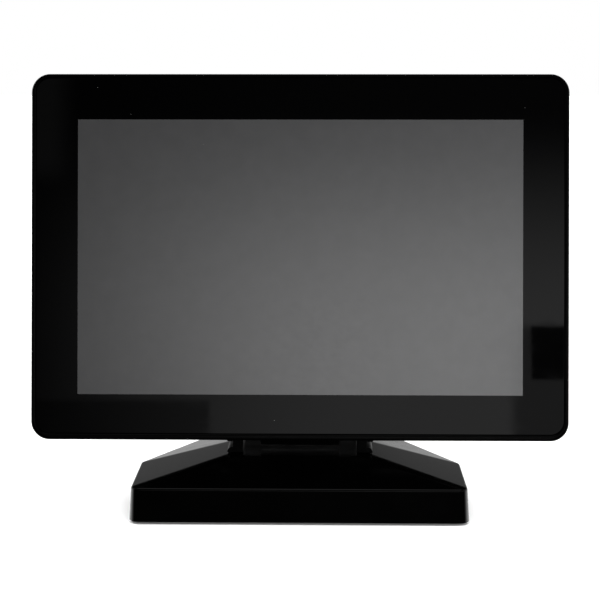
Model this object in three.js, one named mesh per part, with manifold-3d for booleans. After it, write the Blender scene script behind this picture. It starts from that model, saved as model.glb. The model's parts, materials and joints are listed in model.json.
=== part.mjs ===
// A desktop touch monitor: a flat ten-inch display head that tilts on a friction hinge above a low,
// ballasted plastic foot. Millimetres, +Z up, +X to the viewer's right, the screen faces -Y.
// The origin is on the table, at the middle of the foot.

import * as THREE from "three";
import { ConvexGeometry } from "three/addons/geometries/ConvexGeometry.js";
import { mergeVertices } from "three/addons/utils/BufferGeometryUtils.js";
import Module from "manifold-3d";

const wasm = await Module();
wasm.setup();

// ---------------------------------------------------------------- driving dimensions

const GAP = 0.3; // between two pieces that meet
const CUT = 1; // how far a cutter runs past the face it opens

// Display head, seen square from the front: width, height, and depths measured back from the rim's crest.
const HEAD_WIDTH = 261;
const HEAD_HEIGHT = 177.8;
const HEAD_CORNER = 9;
const HEAD_DEPTH = 22;
const FRAME_DEPTH = 12; // the front frame's share of the head's depth
const RIM_SIDE = 2.3;
const RIM_TOP = 2.1;
const RIM_BOTTOM = 3.1;
const RIM_ROUND = 0.85;
const GLASS_SINK = 0.4;
const GLASS_THICK = 1.6;
const SHELL_WALL = 2.2;
const SEAM_INSET = 0.6; // the rear cover is this much smaller all round

// Liquid crystal module
const LCD_WIDTH = 229.5;
const LCD_HEIGHT = 149.1;
const LCD_DROP = 2.25; // the module's middle sits below the head's middle
const VIEW_MARGIN_X = 5.55; // from the module's side to the clear view
const VIEW_MARGIN_Y = 6.05;
const SEAL_THICK = 1;
const CELL_THICK = 1.6;
const BACKLIGHT_THICK = 2.5;
const LEDGE_THICK = 2;

// Chassis and boards
const CHASSIS_WIDTH = 249;
const CHASSIS_HEIGHT = 165;
const CHASSIS_THICK = 1.2;
const CHASSIS_SCREW_INSET = 3; // from the chassis edge to the screw, both ways
const BOARD_THICK = 1.6;
const BOARD_STANDOFF = 2.2;
const CHASSIS_BOSS_RADIUS = 3.4;
const VESA_BOSS_RADIUS = 4.2;
const POST_RADIUS = 2.6;
const POST_PIN = 1.2; // the pin on each post that passes through its board
const POST_INSET = 3; // from a board's edges to its posts

// Rear bracket
const VESA_PITCH = 75;
const BRACKET_SIZE = 96;
const BRACKET_THICK = 2;
const BRACKET_CORNER = 6;
const PAD_ABOVE_EDGE = 2; // from the bracket's lower edge to the arm's pad
const PAD_WIDTH = 64;
const PAD_HEIGHT = 36;
const PAD_THICK = 3.4;
const ARM_SCREW_PITCH_X = 48;
const ARM_SCREW_PITCH_Y = 24;

// Connector bay in the rear cover, and the control buttons
const BAY_LEFT = -100;
const BAY_WIDTH = 60;
const BAY_TOP = -56;
const BAY_FLOOR_DEPTH = FRAME_DEPTH + GAP + SHELL_WALL;
const SOCKET_LENGTH = 13.3;
const BUTTON_WIDTH = 8;
const BUTTON_HEIGHT = 4.5;
const BUTTON_PROUD = 0.9;
const BUTTON_TRAVEL = 0.8;
const BUTTON_PITCH = 12;
const BUTTON_ROW_X = 64;
const BUTTON_ROW_Y = -66;
const BUTTON_CORNER = 1.6;
const BUTTON_FLANGE = 1.2; // how far the flange reaches past the cap, all round

// Hinge
const TILT = THREE.MathUtils.degToRad(8.5); // how far the head leans back at rest
const HINGE_BEHIND_COVER = 11.4; // from the rear cover's flat back to the axis
const HINGE_ABOVE_EDGE = 3.7; // above the head's lower edge
const HINGE_FROM_FRONT = 42; // from the foot's front to the axis
const HINGE_ABOVE_DECK = 11.7;
const BARREL_RADIUS = 10;
const BARREL_WIDTH = 39.6;
const LUG_INNER_X = 28.6;
const LUG_THICK = 5.1;
const LUG_RADIUS = 9.2;
const LUG_FOOT = 21; // front to back, where the lug stands on the deck
const LUG_FLARE = 2.9; // how far the lug's foot spreads outwards
const SHAFT_RADIUS = 3;
const POCKET_RADIUS = 7.2; // the friction pack's recess in each lug
const POCKET_DEPTH = 2.6;
const CAP_RADIUS = 8.5;
const CAP_THICK = 3.3;

// Foot
const FOOT_WIDTH = 165.3;
const FOOT_DEPTH = 109.4;
const FOOT_CORNER = 5.5;
const FOOT_STRAIGHT = 45.3; // the sides run straight this far back, then taper
const FOOT_REAR_WIDTH = 86;
const FOOT_LIFT = 1.1; // the cover's lower edge above the table
const RIM_HEIGHT = 17.9;
const WALL_DRAFT = 1;
const DECK_HEIGHT = 26.9;
const DECK_WIDTH = 72;
const DECK_DEPTH = 33.2;
const DECK_FROM_FRONT = 25.8;
const DECK_CORNER = 6;
const FOOT_WALL = 2.4;
const BOTTOM_PLATE_THICK = 2;
const BOTTOM_PLATE_SINK = 0.8; // how far the plate sits above the cover's lower edge
const PAD_RADIUS = 6;
const BALLAST = { width: 112, depth: 58, height: 10, corner: 4, behindDeck: 2 };
const FOOT_BOSS_RADIUS = 3.6;

// ---------------------------------------------------------------- derived places

const HINGE_Z = DECK_HEIGHT + HINGE_ABOVE_DECK;
const HINGE_Y = HINGE_FROM_FRONT - FOOT_DEPTH / 2;
const VIEW_WIDTH = LCD_WIDTH - 2 * VIEW_MARGIN_X;
const VIEW_HEIGHT = LCD_HEIGHT - 2 * VIEW_MARGIN_Y;
const GLASS_WIDTH = HEAD_WIDTH - 2 * RIM_SIDE;
const GLASS_HEIGHT = HEAD_HEIGHT - RIM_TOP - RIM_BOTTOM;
const GLASS_RISE = (RIM_BOTTOM - RIM_TOP) / 2;
const GLASS_BACK = GLASS_SINK + GLASS_THICK;
const SEAL_FRONT = GLASS_BACK + GAP;
const CELL_FRONT = SEAL_FRONT + SEAL_THICK + GAP;
const BACKLIGHT_FRONT = CELL_FRONT + CELL_THICK + GAP;
const CHASSIS_FRONT = BACKLIGHT_FRONT + BACKLIGHT_THICK + GAP;
const CHASSIS_BACK = CHASSIS_FRONT + CHASSIS_THICK;
const BOARD_FRONT = CHASSIS_BACK + BOARD_STANDOFF + GAP;
const BOARD_BACK = BOARD_FRONT + BOARD_THICK;
const COVER_FRONT = FRAME_DEPTH + GAP;
const COVER_INSIDE = HEAD_DEPTH - SHELL_WALL;
const BRACKET_FRONT = HEAD_DEPTH + GAP;
const BRACKET_BACK = BRACKET_FRONT + BRACKET_THICK;
const PAD_FRONT = BRACKET_BACK + GAP;
const PAD_BACK = PAD_FRONT + PAD_THICK;
const PAD_Y = PAD_HEIGHT / 2 - BRACKET_SIZE / 2 + PAD_ABOVE_EDGE;
const HINGE_IN_HEAD = { y: HINGE_ABOVE_EDGE - HEAD_HEIGHT / 2, z: -(HEAD_DEPTH + HINGE_BEHIND_COVER) };
const LUG_OUTER_X = LUG_INNER_X + LUG_THICK;
const FOOT_FRONT_Y = -FOOT_DEPTH / 2;
const DECK_Y = FOOT_FRONT_Y + DECK_FROM_FRONT + DECK_DEPTH / 2;
const PLATE_BOTTOM = FOOT_LIFT + BOTTOM_PLATE_SINK;
const PLATE_TOP = PLATE_BOTTOM + BOTTOM_PLATE_THICK;
const CONTROL_DEPTH = COVER_INSIDE - GAP; // the rearmost depth that parts inside the cover may reach

// ---------------------------------------------------------------- materials

function finish(color, roughness, metalness) {
  return new THREE.MeshStandardMaterial({ color, roughness, metalness });
}

const FINISHES = {
  blackPlastic: () => finish(0x0c0c0d, 0.5, 0),
  satinRim: () => finish(0x101012, 0.38, 0),
  coverGlass: () => finish(0x050506, 0.06, 0),
  screen: () => finish(0x3a3a3b, 0.3, 0),
  foam: () => finish(0x18181a, 0.95, 0),
  rubber: () => finish(0x141414, 0.9, 0),
  sheetSteel: () => finish(0x8d9096, 0.42, 0.9),
  blackSteel: () => finish(0x1a1a1c, 0.45, 0.7),
  castIron: () => finish(0x4a4a4c, 0.75, 0.6),
  zinc: () => finish(0xb0b2b6, 0.35, 1),
  board: () => finish(0x0f4a2a, 0.55, 0),
  heatSink: () => finish(0xa9abad, 0.4, 1),
  flex: () => finish(0x9a5a1c, 0.5, 0),
};

// ---------------------------------------------------------------- solids

// A closed three.js geometry as a manifold solid.
function solid(geometry) {
  const bare = geometry.clone();
  bare.deleteAttribute("normal");
  bare.deleteAttribute("uv");
  const merged = mergeVertices(bare, 1e-4);
  const vertProperties = new Float32Array(merged.attributes.position.array);
  const triVerts = new Uint32Array(merged.index.array);
  return new wasm.Manifold(new wasm.Mesh({ numProp: 3, vertProperties, triVerts }));
}

function geometryOf(body) {
  const { vertProperties, triVerts } = body.getMesh();
  const geometry = new THREE.BufferGeometry();
  geometry.setAttribute("position", new THREE.BufferAttribute(vertProperties, 3));
  geometry.setIndex(new THREE.BufferAttribute(triVerts, 1));
  const faceted = geometry.toNonIndexed();
  faceted.computeVertexNormals();
  return faceted;
}

function piece(name, body, material, parent) {
  const mesh = new THREE.Mesh(geometryOf(body), material);
  mesh.name = name;
  parent.add(mesh);
  return mesh;
}

// Corners moved inwards, so that every side of the outline steps in by the same distance.
function insetCorners(corners, distance) {
  return corners.map((corner, i) => {
    const before = corners[(i + corners.length - 1) % corners.length];
    const after = corners[(i + 1) % corners.length];
    const arriving = corner.clone().sub(before).normalize();
    const leaving = after.clone().sub(corner).normalize();
    const halfTurn = arriving.angleTo(leaving) / 2;
    const inward = new THREE.Vector2(-arriving.y - leaving.y, arriving.x + leaving.x).normalize();
    return corner.clone().addScaledVector(inward, distance / Math.cos(halfTurn));
  });
}

// A closed outline through counter-clockwise corners, each rounded by an arc.
function roundedOutline(corners, radius) {
  const shape = new THREE.Shape();
  corners.forEach((corner, i) => {
    const before = corners[(i + corners.length - 1) % corners.length];
    const after = corners[(i + 1) % corners.length];
    const arriving = corner.clone().sub(before).normalize();
    const leaving = after.clone().sub(corner).normalize();
    const turn = arriving.angleTo(leaving);
    const start = corner.clone().addScaledVector(arriving, -radius * Math.tan(turn / 2));
    const centre = start.clone().add(new THREE.Vector2(-arriving.y, arriving.x).multiplyScalar(radius));
    const from = Math.atan2(start.y - centre.y, start.x - centre.x);
    shape.absarc(centre.x, centre.y, radius, from, from + turn, false);
  });
  shape.closePath();
  return shape;
}

function rectangle(width, height, radius, x = 0, y = 0) {
  const [w, h] = [width / 2, height / 2];
  const corners = [[-w, -h], [w, -h], [w, h], [-w, h]];
  return roundedOutline(corners.map(([cx, cy]) => new THREE.Vector2(x + cx, y + cy)), radius);
}

// A slab of an outline between two heights.
function slab(shape, low, high, curveSegments = 3) {
  const options = { depth: high - low, bevelEnabled: false, curveSegments };
  return solid(new THREE.ExtrudeGeometry(shape, options).translate(0, 0, low));
}

function box(x0, x1, y0, y1, z0, z1) {
  const geometry = new THREE.BoxGeometry(x1 - x0, y1 - y0, z1 - z0);
  return solid(geometry.translate((x0 + x1) / 2, (y0 + y1) / 2, (z0 + z1) / 2));
}

// A box round a place, between two heights.
function block(x, y, width, height, low, high) {
  return box(x - width / 2, x + width / 2, y - height / 2, y + height / 2, low, high);
}

// An upright round bar between two heights.
function bar(radius, x, y, low, high, sides = 12) {
  const geometry = new THREE.CylinderGeometry(radius, radius, high - low, sides);
  return solid(geometry.rotateX(Math.PI / 2).translate(x, y, (low + high) / 2));
}

// The smooth skin over a stack of outlines, each at its own height.
function skin(levels, curveSegments) {
  const points = levels.flatMap(({ shape, z }) =>
    shape.getPoints(curveSegments).map((p) => new THREE.Vector3(p.x, p.y, z)),
  );
  return solid(new ConvexGeometry(points));
}

// A profile drawn as (y, z) and extruded along X.
function alongX(shape, x0, x1, curveSegments = 6) {
  const options = { depth: x1 - x0, bevelEnabled: false, curveSegments };
  const geometry = new THREE.ExtrudeGeometry(shape, options);
  return solid(geometry.rotateX(Math.PI / 2).rotateZ(Math.PI / 2).translate(x0, 0, 0));
}

function barAlongX(radius, x0, x1, y, z, sides = 16) {
  const geometry = new THREE.CylinderGeometry(radius, radius, Math.abs(x1 - x0), sides);
  return solid(geometry.rotateZ(Math.PI / 2).translate((x0 + x1) / 2, y, z));
}

const union = (bodies) => bodies.reduce((all, body) => all.add(body));
const cut = (body, cutters) => cutters.reduce((rest, cutter) => rest.subtract(cutter), body);

// Corner places of a rectangular pattern, named by where each one is.
function fourCorners(pitchX, pitchY, x = 0, y = 0) {
  return [
    { label: "lower_left", x: x - pitchX / 2, y: y - pitchY / 2 },
    { label: "lower_right", x: x + pitchX / 2, y: y - pitchY / 2 },
    { label: "upper_left", x: x - pitchX / 2, y: y + pitchY / 2 },
    { label: "upper_right", x: x + pitchX / 2, y: y + pitchY / 2 },
  ];
}

// A pan-head screw: its seat at z = 0, the head below it and the shank above.
function screw({ head, height, shank, length }) {
  const profile = [
    [0, -height],
    [head * 0.72, -height],
    [head, -height * 0.45],
    [head, 0],
    [shank, 0],
    [shank, length],
    [0, length],
  ].map(([r, z]) => new THREE.Vector2(r, z));
  const blank = solid(new THREE.LatheGeometry(profile, 10).rotateX(Math.PI / 2));
  const drive = new THREE.CylinderGeometry(head * 0.42, head * 0.42, height, 6).rotateX(Math.PI / 2);
  return blank.subtract(solid(drive.translate(0, 0, -height)));
}

// ---------------------------------------------------------------- foot

const FOOT_CORNERS = [
  [-FOOT_WIDTH / 2, FOOT_FRONT_Y],
  [FOOT_WIDTH / 2, FOOT_FRONT_Y],
  [FOOT_WIDTH / 2, FOOT_FRONT_Y + FOOT_STRAIGHT],
  [FOOT_REAR_WIDTH / 2, -FOOT_FRONT_Y],
  [-FOOT_REAR_WIDTH / 2, -FOOT_FRONT_Y],
  [-FOOT_WIDTH / 2, FOOT_FRONT_Y + FOOT_STRAIGHT],
].map(([x, y]) => new THREE.Vector2(x, y));

const footOutline = (inset) =>
  roundedOutline(insetCorners(FOOT_CORNERS, inset), Math.max(FOOT_CORNER - inset, 1.5));
const deckOutline = (inset) =>
  rectangle(DECK_WIDTH - 2 * inset, DECK_DEPTH - 2 * inset, DECK_CORNER - inset, 0, DECK_Y);

const RIM_EDGE = 1.2; // rounding between the foot's wall and its sloping top
const DECK_EDGE = 2; // width of the soft step round the deck
const footForm = skin(
  [
    { shape: footOutline(0), z: FOOT_LIFT },
    { shape: footOutline(WALL_DRAFT), z: RIM_HEIGHT - RIM_EDGE },
    { shape: footOutline(WALL_DRAFT + RIM_EDGE * 0.3), z: RIM_HEIGHT - RIM_EDGE * 0.3 },
    { shape: footOutline(WALL_DRAFT + RIM_EDGE), z: RIM_HEIGHT },
    { shape: deckOutline(0), z: DECK_HEIGHT - DECK_EDGE / 8 },
    { shape: deckOutline(DECK_EDGE), z: DECK_HEIGHT },
  ],
  3,
);
const footHollow = skin(
  [
    { shape: footOutline(FOOT_WALL), z: FOOT_LIFT - CUT },
    { shape: footOutline(WALL_DRAFT + FOOT_WALL), z: RIM_HEIGHT - FOOT_WALL },
    { shape: deckOutline(DECK_EDGE), z: DECK_HEIGHT - FOOT_WALL },
  ],
  2,
);

// What is fixed under the foot: a pair near the front edge and a pair near the rear edge.
const UNDER_INSET_Y = 13;

function underFoot(frontInset, rearInset) {
  const frontX = FOOT_WIDTH / 2 - frontInset;
  const rearX = FOOT_REAR_WIDTH / 2 - rearInset;
  const y = -FOOT_FRONT_Y - UNDER_INSET_Y;
  return [
    { label: "front_left", x: -frontX, y: -y },
    { label: "front_right", x: frontX, y: -y },
    { label: "rear_left", x: -rearX, y },
    { label: "rear_right", x: rearX, y },
  ];
}

const FOOT_SCREW = { head: 3, height: 1, shank: 1.2, length: 9 };
const FOOT_SCREW_RADIUS = FOOT_SCREW.shank + GAP;
const FOOT_SCREWS = underFoot(15, 12);
const FOOT_PADS = underFoot(32, 28);

// Lug screws come up through the deck, one in front of the hinge axis and one behind it.
const LUG_SCREW = { head: 3, height: 1.8, shank: 1.5, length: 8 };
const LUG_SCREW_RADIUS = LUG_SCREW.shank + GAP;
const LUG_SCREW_X = LUG_INNER_X + LUG_THICK / 2;
const LUG_SCREW_PITCH = 12;
const LUG_SCREWS = [-1, 1].flatMap((side) =>
  [-1, 1].map((end) => ({
    label: `${side < 0 ? "left" : "right"}_${end < 0 ? "front" : "rear"}`,
    x: side * LUG_SCREW_X,
    y: HINGE_Y + (end * LUG_SCREW_PITCH) / 2,
  })),
);
const LUG_SCREW_SEAT = DECK_HEIGHT - FOOT_WALL - GAP;

function footCover() {
  const bosses = FOOT_SCREWS.map(({ x, y }) =>
    bar(FOOT_BOSS_RADIUS, x, y, PLATE_TOP + GAP, DECK_HEIGHT, 10).intersect(footForm),
  );
  const pilots = FOOT_SCREWS.map(({ x, y }) =>
    bar(FOOT_SCREW_RADIUS, x, y, PLATE_TOP, PLATE_BOTTOM + FOOT_SCREW.length + GAP, 8),
  );
  const lugHoles = LUG_SCREWS.map(({ x, y }) =>
    bar(LUG_SCREW_RADIUS, x, y, LUG_SCREW_SEAT - CUT, DECK_HEIGHT + CUT, 8),
  );
  const shell = union([footForm.subtract(footHollow), ...bosses]);
  return cut(shell, [...pilots, ...lugHoles]);
}

function bottomPlate() {
  const outline = footOutline(FOOT_WALL + GAP);
  const holes = FOOT_SCREWS.map(({ x, y }) =>
    bar(FOOT_SCREW_RADIUS, x, y, PLATE_BOTTOM - CUT, PLATE_TOP + CUT, 8),
  );
  return cut(slab(outline, PLATE_BOTTOM, PLATE_TOP), holes);
}

function ballastWeight() {
  const { width, depth, height, corner, behindDeck } = BALLAST;
  const low = PLATE_TOP + GAP;
  return slab(rectangle(width, depth, corner, 0, DECK_Y + behindDeck), low, low + height);
}

function footPad() {
  const height = PLATE_BOTTOM - GAP;
  const profile = [[0, 0], [PAD_RADIUS - 0.5, 0], [PAD_RADIUS, 0.5], [PAD_RADIUS, height], [0, height]];
  const points = profile.map(([r, z]) => new THREE.Vector2(r, z));
  return solid(new THREE.LatheGeometry(points, 20).rotateX(Math.PI / 2));
}

function addFoot(parent) {
  piece("base_cover", footCover(), FINISHES.blackPlastic(), parent);
  piece("base_plate", bottomPlate(), FINISHES.blackSteel(), parent);
  piece("ballast_weight", ballastWeight(), FINISHES.castIron(), parent);
  for (const { label, x, y } of FOOT_PADS) {
    piece(`foot_${label}`, footPad(), FINISHES.rubber(), parent).position.set(x, y, 0);
  }
  for (const { label, x, y } of FOOT_SCREWS) {
    const seat = PLATE_BOTTOM - GAP;
    piece(`base_screw_${label}`, screw(FOOT_SCREW), FINISHES.zinc(), parent).position.set(x, y, seat);
  }
}

// ---------------------------------------------------------------- hinge lugs on the foot

// The right-hand lug, seen with the hinge axis at the origin of its (y, z) profile.
function hingeLug() {
  const foot = GAP - HINGE_ABOVE_DECK;
  const profile = new THREE.Shape();
  profile.moveTo(-LUG_FOOT / 2, foot);
  profile.lineTo(LUG_FOOT / 2, foot);
  profile.lineTo(LUG_RADIUS, 0);
  profile.absarc(0, 0, LUG_RADIUS, 0, Math.PI, false);
  profile.closePath();
  const flareTop = -CAP_RADIUS - GAP;
  const flareRise = flareTop - foot;
  const flare = new ConvexGeometry(
    [0, 0.35, 0.7, 1].flatMap((share) => {
      const reach = LUG_OUTER_X + LUG_FLARE * Math.sqrt(1 - share * share);
      const z = foot + flareRise * share;
      return [-LUG_FOOT / 2, LUG_FOOT / 2].flatMap((y) => [
        new THREE.Vector3(LUG_INNER_X, y * (1 - 0.05 * share), z),
        new THREE.Vector3(reach, y * (1 - 0.05 * share), z),
      ]);
    }),
  );
  const body = alongX(profile, LUG_INNER_X, LUG_OUTER_X).add(solid(flare));
  const tapped = LUG_SCREWS.slice(2).map(({ y }) => {
    const top = LUG_SCREW_SEAT + LUG_SCREW.length + GAP - HINGE_Z;
    return bar(LUG_SCREW_RADIUS, LUG_SCREW_X, y - HINGE_Y, foot - CUT, top, 8);
  });
  return cut(body, [
    barAlongX(SHAFT_RADIUS + GAP, LUG_INNER_X - CUT, LUG_OUTER_X + CUT, 0, 0),
    barAlongX(POCKET_RADIUS, LUG_OUTER_X - POCKET_DEPTH, LUG_OUTER_X + CUT, 0, 0, 20),
    ...tapped,
  ]);
}

// A shallow cup that hides the friction pack, open towards the lug.
function hingeCap() {
  const inner = LUG_OUTER_X + GAP;
  const outer = inner + CAP_THICK;
  const rounded = [
    [0, inner],
    [CAP_RADIUS, inner],
    [CAP_RADIUS, outer - 0.9],
    [CAP_RADIUS - 0.3, outer - 0.3],
    [CAP_RADIUS - 0.9, outer],
    [0, outer],
  ].map(([r, x]) => new THREE.Vector2(r, x));
  const disc = solid(new THREE.LatheGeometry(rounded, 24).rotateZ(-Math.PI / 2));
  return disc.subtract(barAlongX(POCKET_RADIUS, inner - CUT, outer - 0.8, 0, 0, 20));
}

// The friction pack on the right-hand end of the shaft: washer, spring washer and nut, outwards.
const WASHER_RADIUS = 6.4;
const SPRING_RADIUS = 5.6;
const NUT_RADIUS = 5.8;
const WASHER_THICK = 0.8;
const NUT_THICK = 2.4;
const WASHER_X = LUG_OUTER_X - POCKET_DEPTH + GAP;
const SPRING_X = WASHER_X + WASHER_THICK + GAP;
const NUT_X = SPRING_X + WASHER_THICK + GAP;
const SHAFT_END = NUT_X + NUT_THICK;

function ringAlongX(radius, hole, x0, x1, sides) {
  return barAlongX(radius, x0, x1, 0, 0, sides).subtract(barAlongX(hole, x0 - CUT, x1 + CUT, 0, 0));
}

// Pieces of the right-hand end, mirrored by a half turn about Z for the left-hand end.
function addBothEnds(name, body, material, parent) {
  for (const [side, turn] of [["right", 0], ["left", Math.PI]]) {
    const mesh = piece(`${name}_${side}`, body(), material(), parent);
    mesh.rotation.z = turn;
  }
}

function addLugs(parent) {
  const axis = new THREE.Group();
  axis.position.set(0, HINGE_Y, HINGE_Z);
  parent.add(axis);
  addBothEnds("hinge_lug", hingeLug, FINISHES.blackPlastic, axis);
  addBothEnds("hinge_cap", hingeCap, FINISHES.blackPlastic, axis);
  for (const { label, x, y } of LUG_SCREWS) {
    const mesh = piece(`lug_screw_${label}`, screw(LUG_SCREW), FINISHES.zinc(), parent);
    mesh.position.set(x, y, LUG_SCREW_SEAT);
  }
}

function addFrictionPack(axis) {
  const hole = SHAFT_RADIUS + GAP;
  const washer = () => ringAlongX(WASHER_RADIUS, hole, WASHER_X, WASHER_X + WASHER_THICK, 20);
  const spring = () => ringAlongX(SPRING_RADIUS, hole, SPRING_X, SPRING_X + WASHER_THICK, 20);
  const nut = () => ringAlongX(NUT_RADIUS, hole, NUT_X, NUT_X + NUT_THICK, 6);
  piece("hinge_shaft", barAlongX(SHAFT_RADIUS, -SHAFT_END, SHAFT_END, 0, 0), FINISHES.zinc(), axis);
  addBothEnds("friction_washer", washer, FINISHES.sheetSteel, axis);
  addBothEnds("spring_washer", spring, FINISHES.sheetSteel, axis);
  addBothEnds("hinge_nut", nut, FINISHES.zinc, axis);
}

// ---------------------------------------------------------------- display head
// In the head's own frame X runs to the right, Y up the screen and Z towards the viewer, with z = 0 at the
// rim's crest. A depth d behind the crest is z = -d.

const plateBetween = (shape, front, back, segments) => slab(shape, -back, -front, segments);
const headOutline = (inset) =>
  rectangle(HEAD_WIDTH - 2 * inset, HEAD_HEIGHT - 2 * inset, HEAD_CORNER + inset * 0.35);
const glassOutline = (grow) =>
  rectangle(GLASS_WIDTH + 2 * grow, GLASS_HEIGHT + 2 * grow, HEAD_CORNER - RIM_SIDE + grow, 0, GLASS_RISE);
const lcdOutline = (grow) => rectangle(LCD_WIDTH + 2 * grow, LCD_HEIGHT + 2 * grow, 1.5, 0, -LCD_DROP);

const CHASSIS_SCREW = { head: 2.6, height: 1.6, shank: 1.2, length: 5 };
const CHASSIS_SCREWS = fourCorners(
  CHASSIS_WIDTH - 2 * CHASSIS_SCREW_INSET,
  CHASSIS_HEIGHT - 2 * CHASSIS_SCREW_INSET,
);
const VESA_SCREW = { head: 3.8, height: 2.4, shank: 2, length: 12.5 };
const VESA_SCREWS = fourCorners(VESA_PITCH, VESA_PITCH);
const VESA_HOLE = VESA_SCREW.shank + GAP;
const ARM_SCREW = { head: 3.4, height: 2.2, shank: 1.7, length: PAD_THICK + BRACKET_THICK + 2 * GAP };
const ARM_SCREWS = fourCorners(ARM_SCREW_PITCH_X, ARM_SCREW_PITCH_Y, 0, PAD_Y);
const ARM_HOLE = ARM_SCREW.shank + GAP;
const TOUCH_FLEX = { x0: 60, x1: 78, y: LCD_HEIGHT / -2 - LCD_DROP - 2.8 };
const LCD_RIBBON = { x0: -84, x1: -58, y: -60 };

function frontFrame() {
  const rim = headOutline(0);
  rim.holes.push(glassOutline(GAP));
  const rimSolid = solid(
    new THREE.ExtrudeGeometry(rim, {
      depth: FRAME_DEPTH,
      bevelThickness: RIM_ROUND,
      bevelSize: RIM_ROUND,
      bevelOffset: -RIM_ROUND,
      bevelSegments: 3,
      curveSegments: 4,
    }).translate(0, 0, -FRAME_DEPTH - RIM_ROUND),
  );
  const backTrim = plateBetween(headOutline(-CUT), FRAME_DEPTH, FRAME_DEPTH + 2 * RIM_ROUND);
  const ledge = glassOutline(CUT);
  const opening = rectangle(LCD_WIDTH + 2 * GAP, LCD_HEIGHT + 2 * GAP + 5, 2, 0, -LCD_DROP - 2.5);
  ledge.holes.push(opening);
  const bosses = CHASSIS_SCREWS.map(({ x, y }) =>
    bar(CHASSIS_BOSS_RADIUS, x, y, GAP - CHASSIS_FRONT, -SEAL_FRONT - LEDGE_THICK / 2, 10),
  );
  const pilots = CHASSIS_SCREWS.map(({ x, y }) =>
    bar(CHASSIS_SCREW.shank + GAP, x, y, -CHASSIS_FRONT, -CHASSIS_BACK + CHASSIS_SCREW.length, 8),
  );
  const body = union([rimSolid, plateBetween(ledge, SEAL_FRONT, SEAL_FRONT + LEDGE_THICK), ...bosses]);
  return cut(body, [backTrim, ...pilots]);
}

function lightSeal() {
  const ring = lcdOutline(-1);
  ring.holes.push(rectangle(VIEW_WIDTH, VIEW_HEIGHT, 1));
  return plateBetween(ring, SEAL_FRONT, SEAL_FRONT + SEAL_THICK, 2);
}

// Places of the swaged posts that carry each board.
const MAIN_BOARD = { x0: -100, x1: -42, y0: -52, y1: 8 };
const TOUCH_BOARD = { x0: 42, x1: 102, y0: -52, y1: -32 };
const BUTTON_BOARD = { x0: 38, x1: 90, y0: -73, y1: -59 };
const postPlaces = ({ x0, x1, y0, y1 }) =>
  fourCorners(x1 - x0 - 2 * POST_INSET, y1 - y0 - 2 * POST_INSET, (x0 + x1) / 2, (y0 + y1) / 2);
const BOARD_POSTS = [MAIN_BOARD, TOUCH_BOARD, BUTTON_BOARD].flatMap((board) => {
  const posts = postPlaces(board);
  return board === MAIN_BOARD ? posts : [posts[0], posts[3]];
});
function chassisPlate() {
  const plate = plateBetween(rectangle(CHASSIS_WIDTH, CHASSIS_HEIGHT, 6), CHASSIS_FRONT, CHASSIS_BACK, 2);
  const bosses = VESA_SCREWS.map(({ x, y }) =>
    bar(VESA_BOSS_RADIUS, x, y, -CONTROL_DEPTH, -CHASSIS_BACK + 0.5),
  );
  const posts = BOARD_POSTS.flatMap(({ x, y }) => [
    bar(POST_RADIUS, x, y, GAP - BOARD_FRONT, -CHASSIS_BACK + 0.5, 8),
    bar(POST_PIN, x, y, -BOARD_BACK - 0.6, -CHASSIS_BACK, 8),
  ]);
  const bores = VESA_SCREWS.map(({ x, y }) =>
    bar(VESA_HOLE, x, y, -CONTROL_DEPTH - CUT, -BRACKET_BACK + VESA_SCREW.length, 10),
  );
  const screwHoles = CHASSIS_SCREWS.map(({ x, y }) =>
    bar(CHASSIS_SCREW.shank + GAP, x, y, -CHASSIS_BACK - CUT, -CHASSIS_FRONT + CUT, 8),
  );
  const cableSlots = [TOUCH_FLEX, LCD_RIBBON].map(({ x0, x1, y }) =>
    box(x0 - 2, x1 + 2, y - 1.5, y + 1.5, -CHASSIS_BACK - CUT, -CHASSIS_FRONT + CUT),
  );
  const lightening = [-1, 1].map((side) =>
    plateBetween(rectangle(56, 40, 6, side * 30, 56), CHASSIS_FRONT - CUT, CHASSIS_BACK + CUT, 2),
  );
  return cut(union([plate, ...bosses, ...posts]), [...bores, ...screwHoles, ...cableSlots, ...lightening]);
}

// A board with its parts standing on its back, drilled for its posts.
function circuitBoard(board, posts, components) {
  const { x0, x1, y0, y1 } = board;
  const blank = box(x0, x1, y0, y1, -BOARD_BACK, -BOARD_FRONT);
  const parts = components.map(({ x, y, width, height, rise }) =>
    block(x, y, width, height, -BOARD_BACK - rise, -BOARD_BACK + 0.2),
  );
  const holes = posts.map(({ x, y }) => bar(POST_PIN + GAP, x, y, -BOARD_BACK - CUT, -BOARD_FRONT + CUT, 8));
  return cut(union([blank, ...parts]), holes);
}

const CHIP = { x: -72, y: -14, width: 16, height: 16, rise: 1.4 };

function mainBoard() {
  const coils = [0, 1, 2].map((i) => ({ x: -92 + i * 8, y: -33, width: 5, height: 5, rise: 2.6 }));
  const caps = [0, 1, 2, 3].map((i) => ({ x: -57 + i * 3.5, y: -30, width: 2.2, height: 3.4, rise: 1.8 }));
  const header = { x: -71, y: 3, width: 24, height: 4, rise: 2.4 };
  const memory = { x: -53, y: -14, width: 9, height: 12, rise: 1.2 };
  return circuitBoard(MAIN_BOARD, postPlaces(MAIN_BOARD), [CHIP, header, memory, ...coils, ...caps]);
}

function heatSink() {
  const [low, fin, tall] = [BOARD_BACK + CHIP.rise + GAP, 1.2, CONTROL_DEPTH - GAP];
  const size = 22;
  const base = block(CHIP.x, CHIP.y, size, size, -low - 1, -low);
  const fins = [0, 1, 2, 3, 4, 5].map((i) => {
    const x = CHIP.x - size / 2 + (i * (size - fin)) / 5;
    return block(x + fin / 2, CHIP.y, fin, size, -tall, -low - 0.5);
  });
  return union([base, ...fins]);
}

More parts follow.
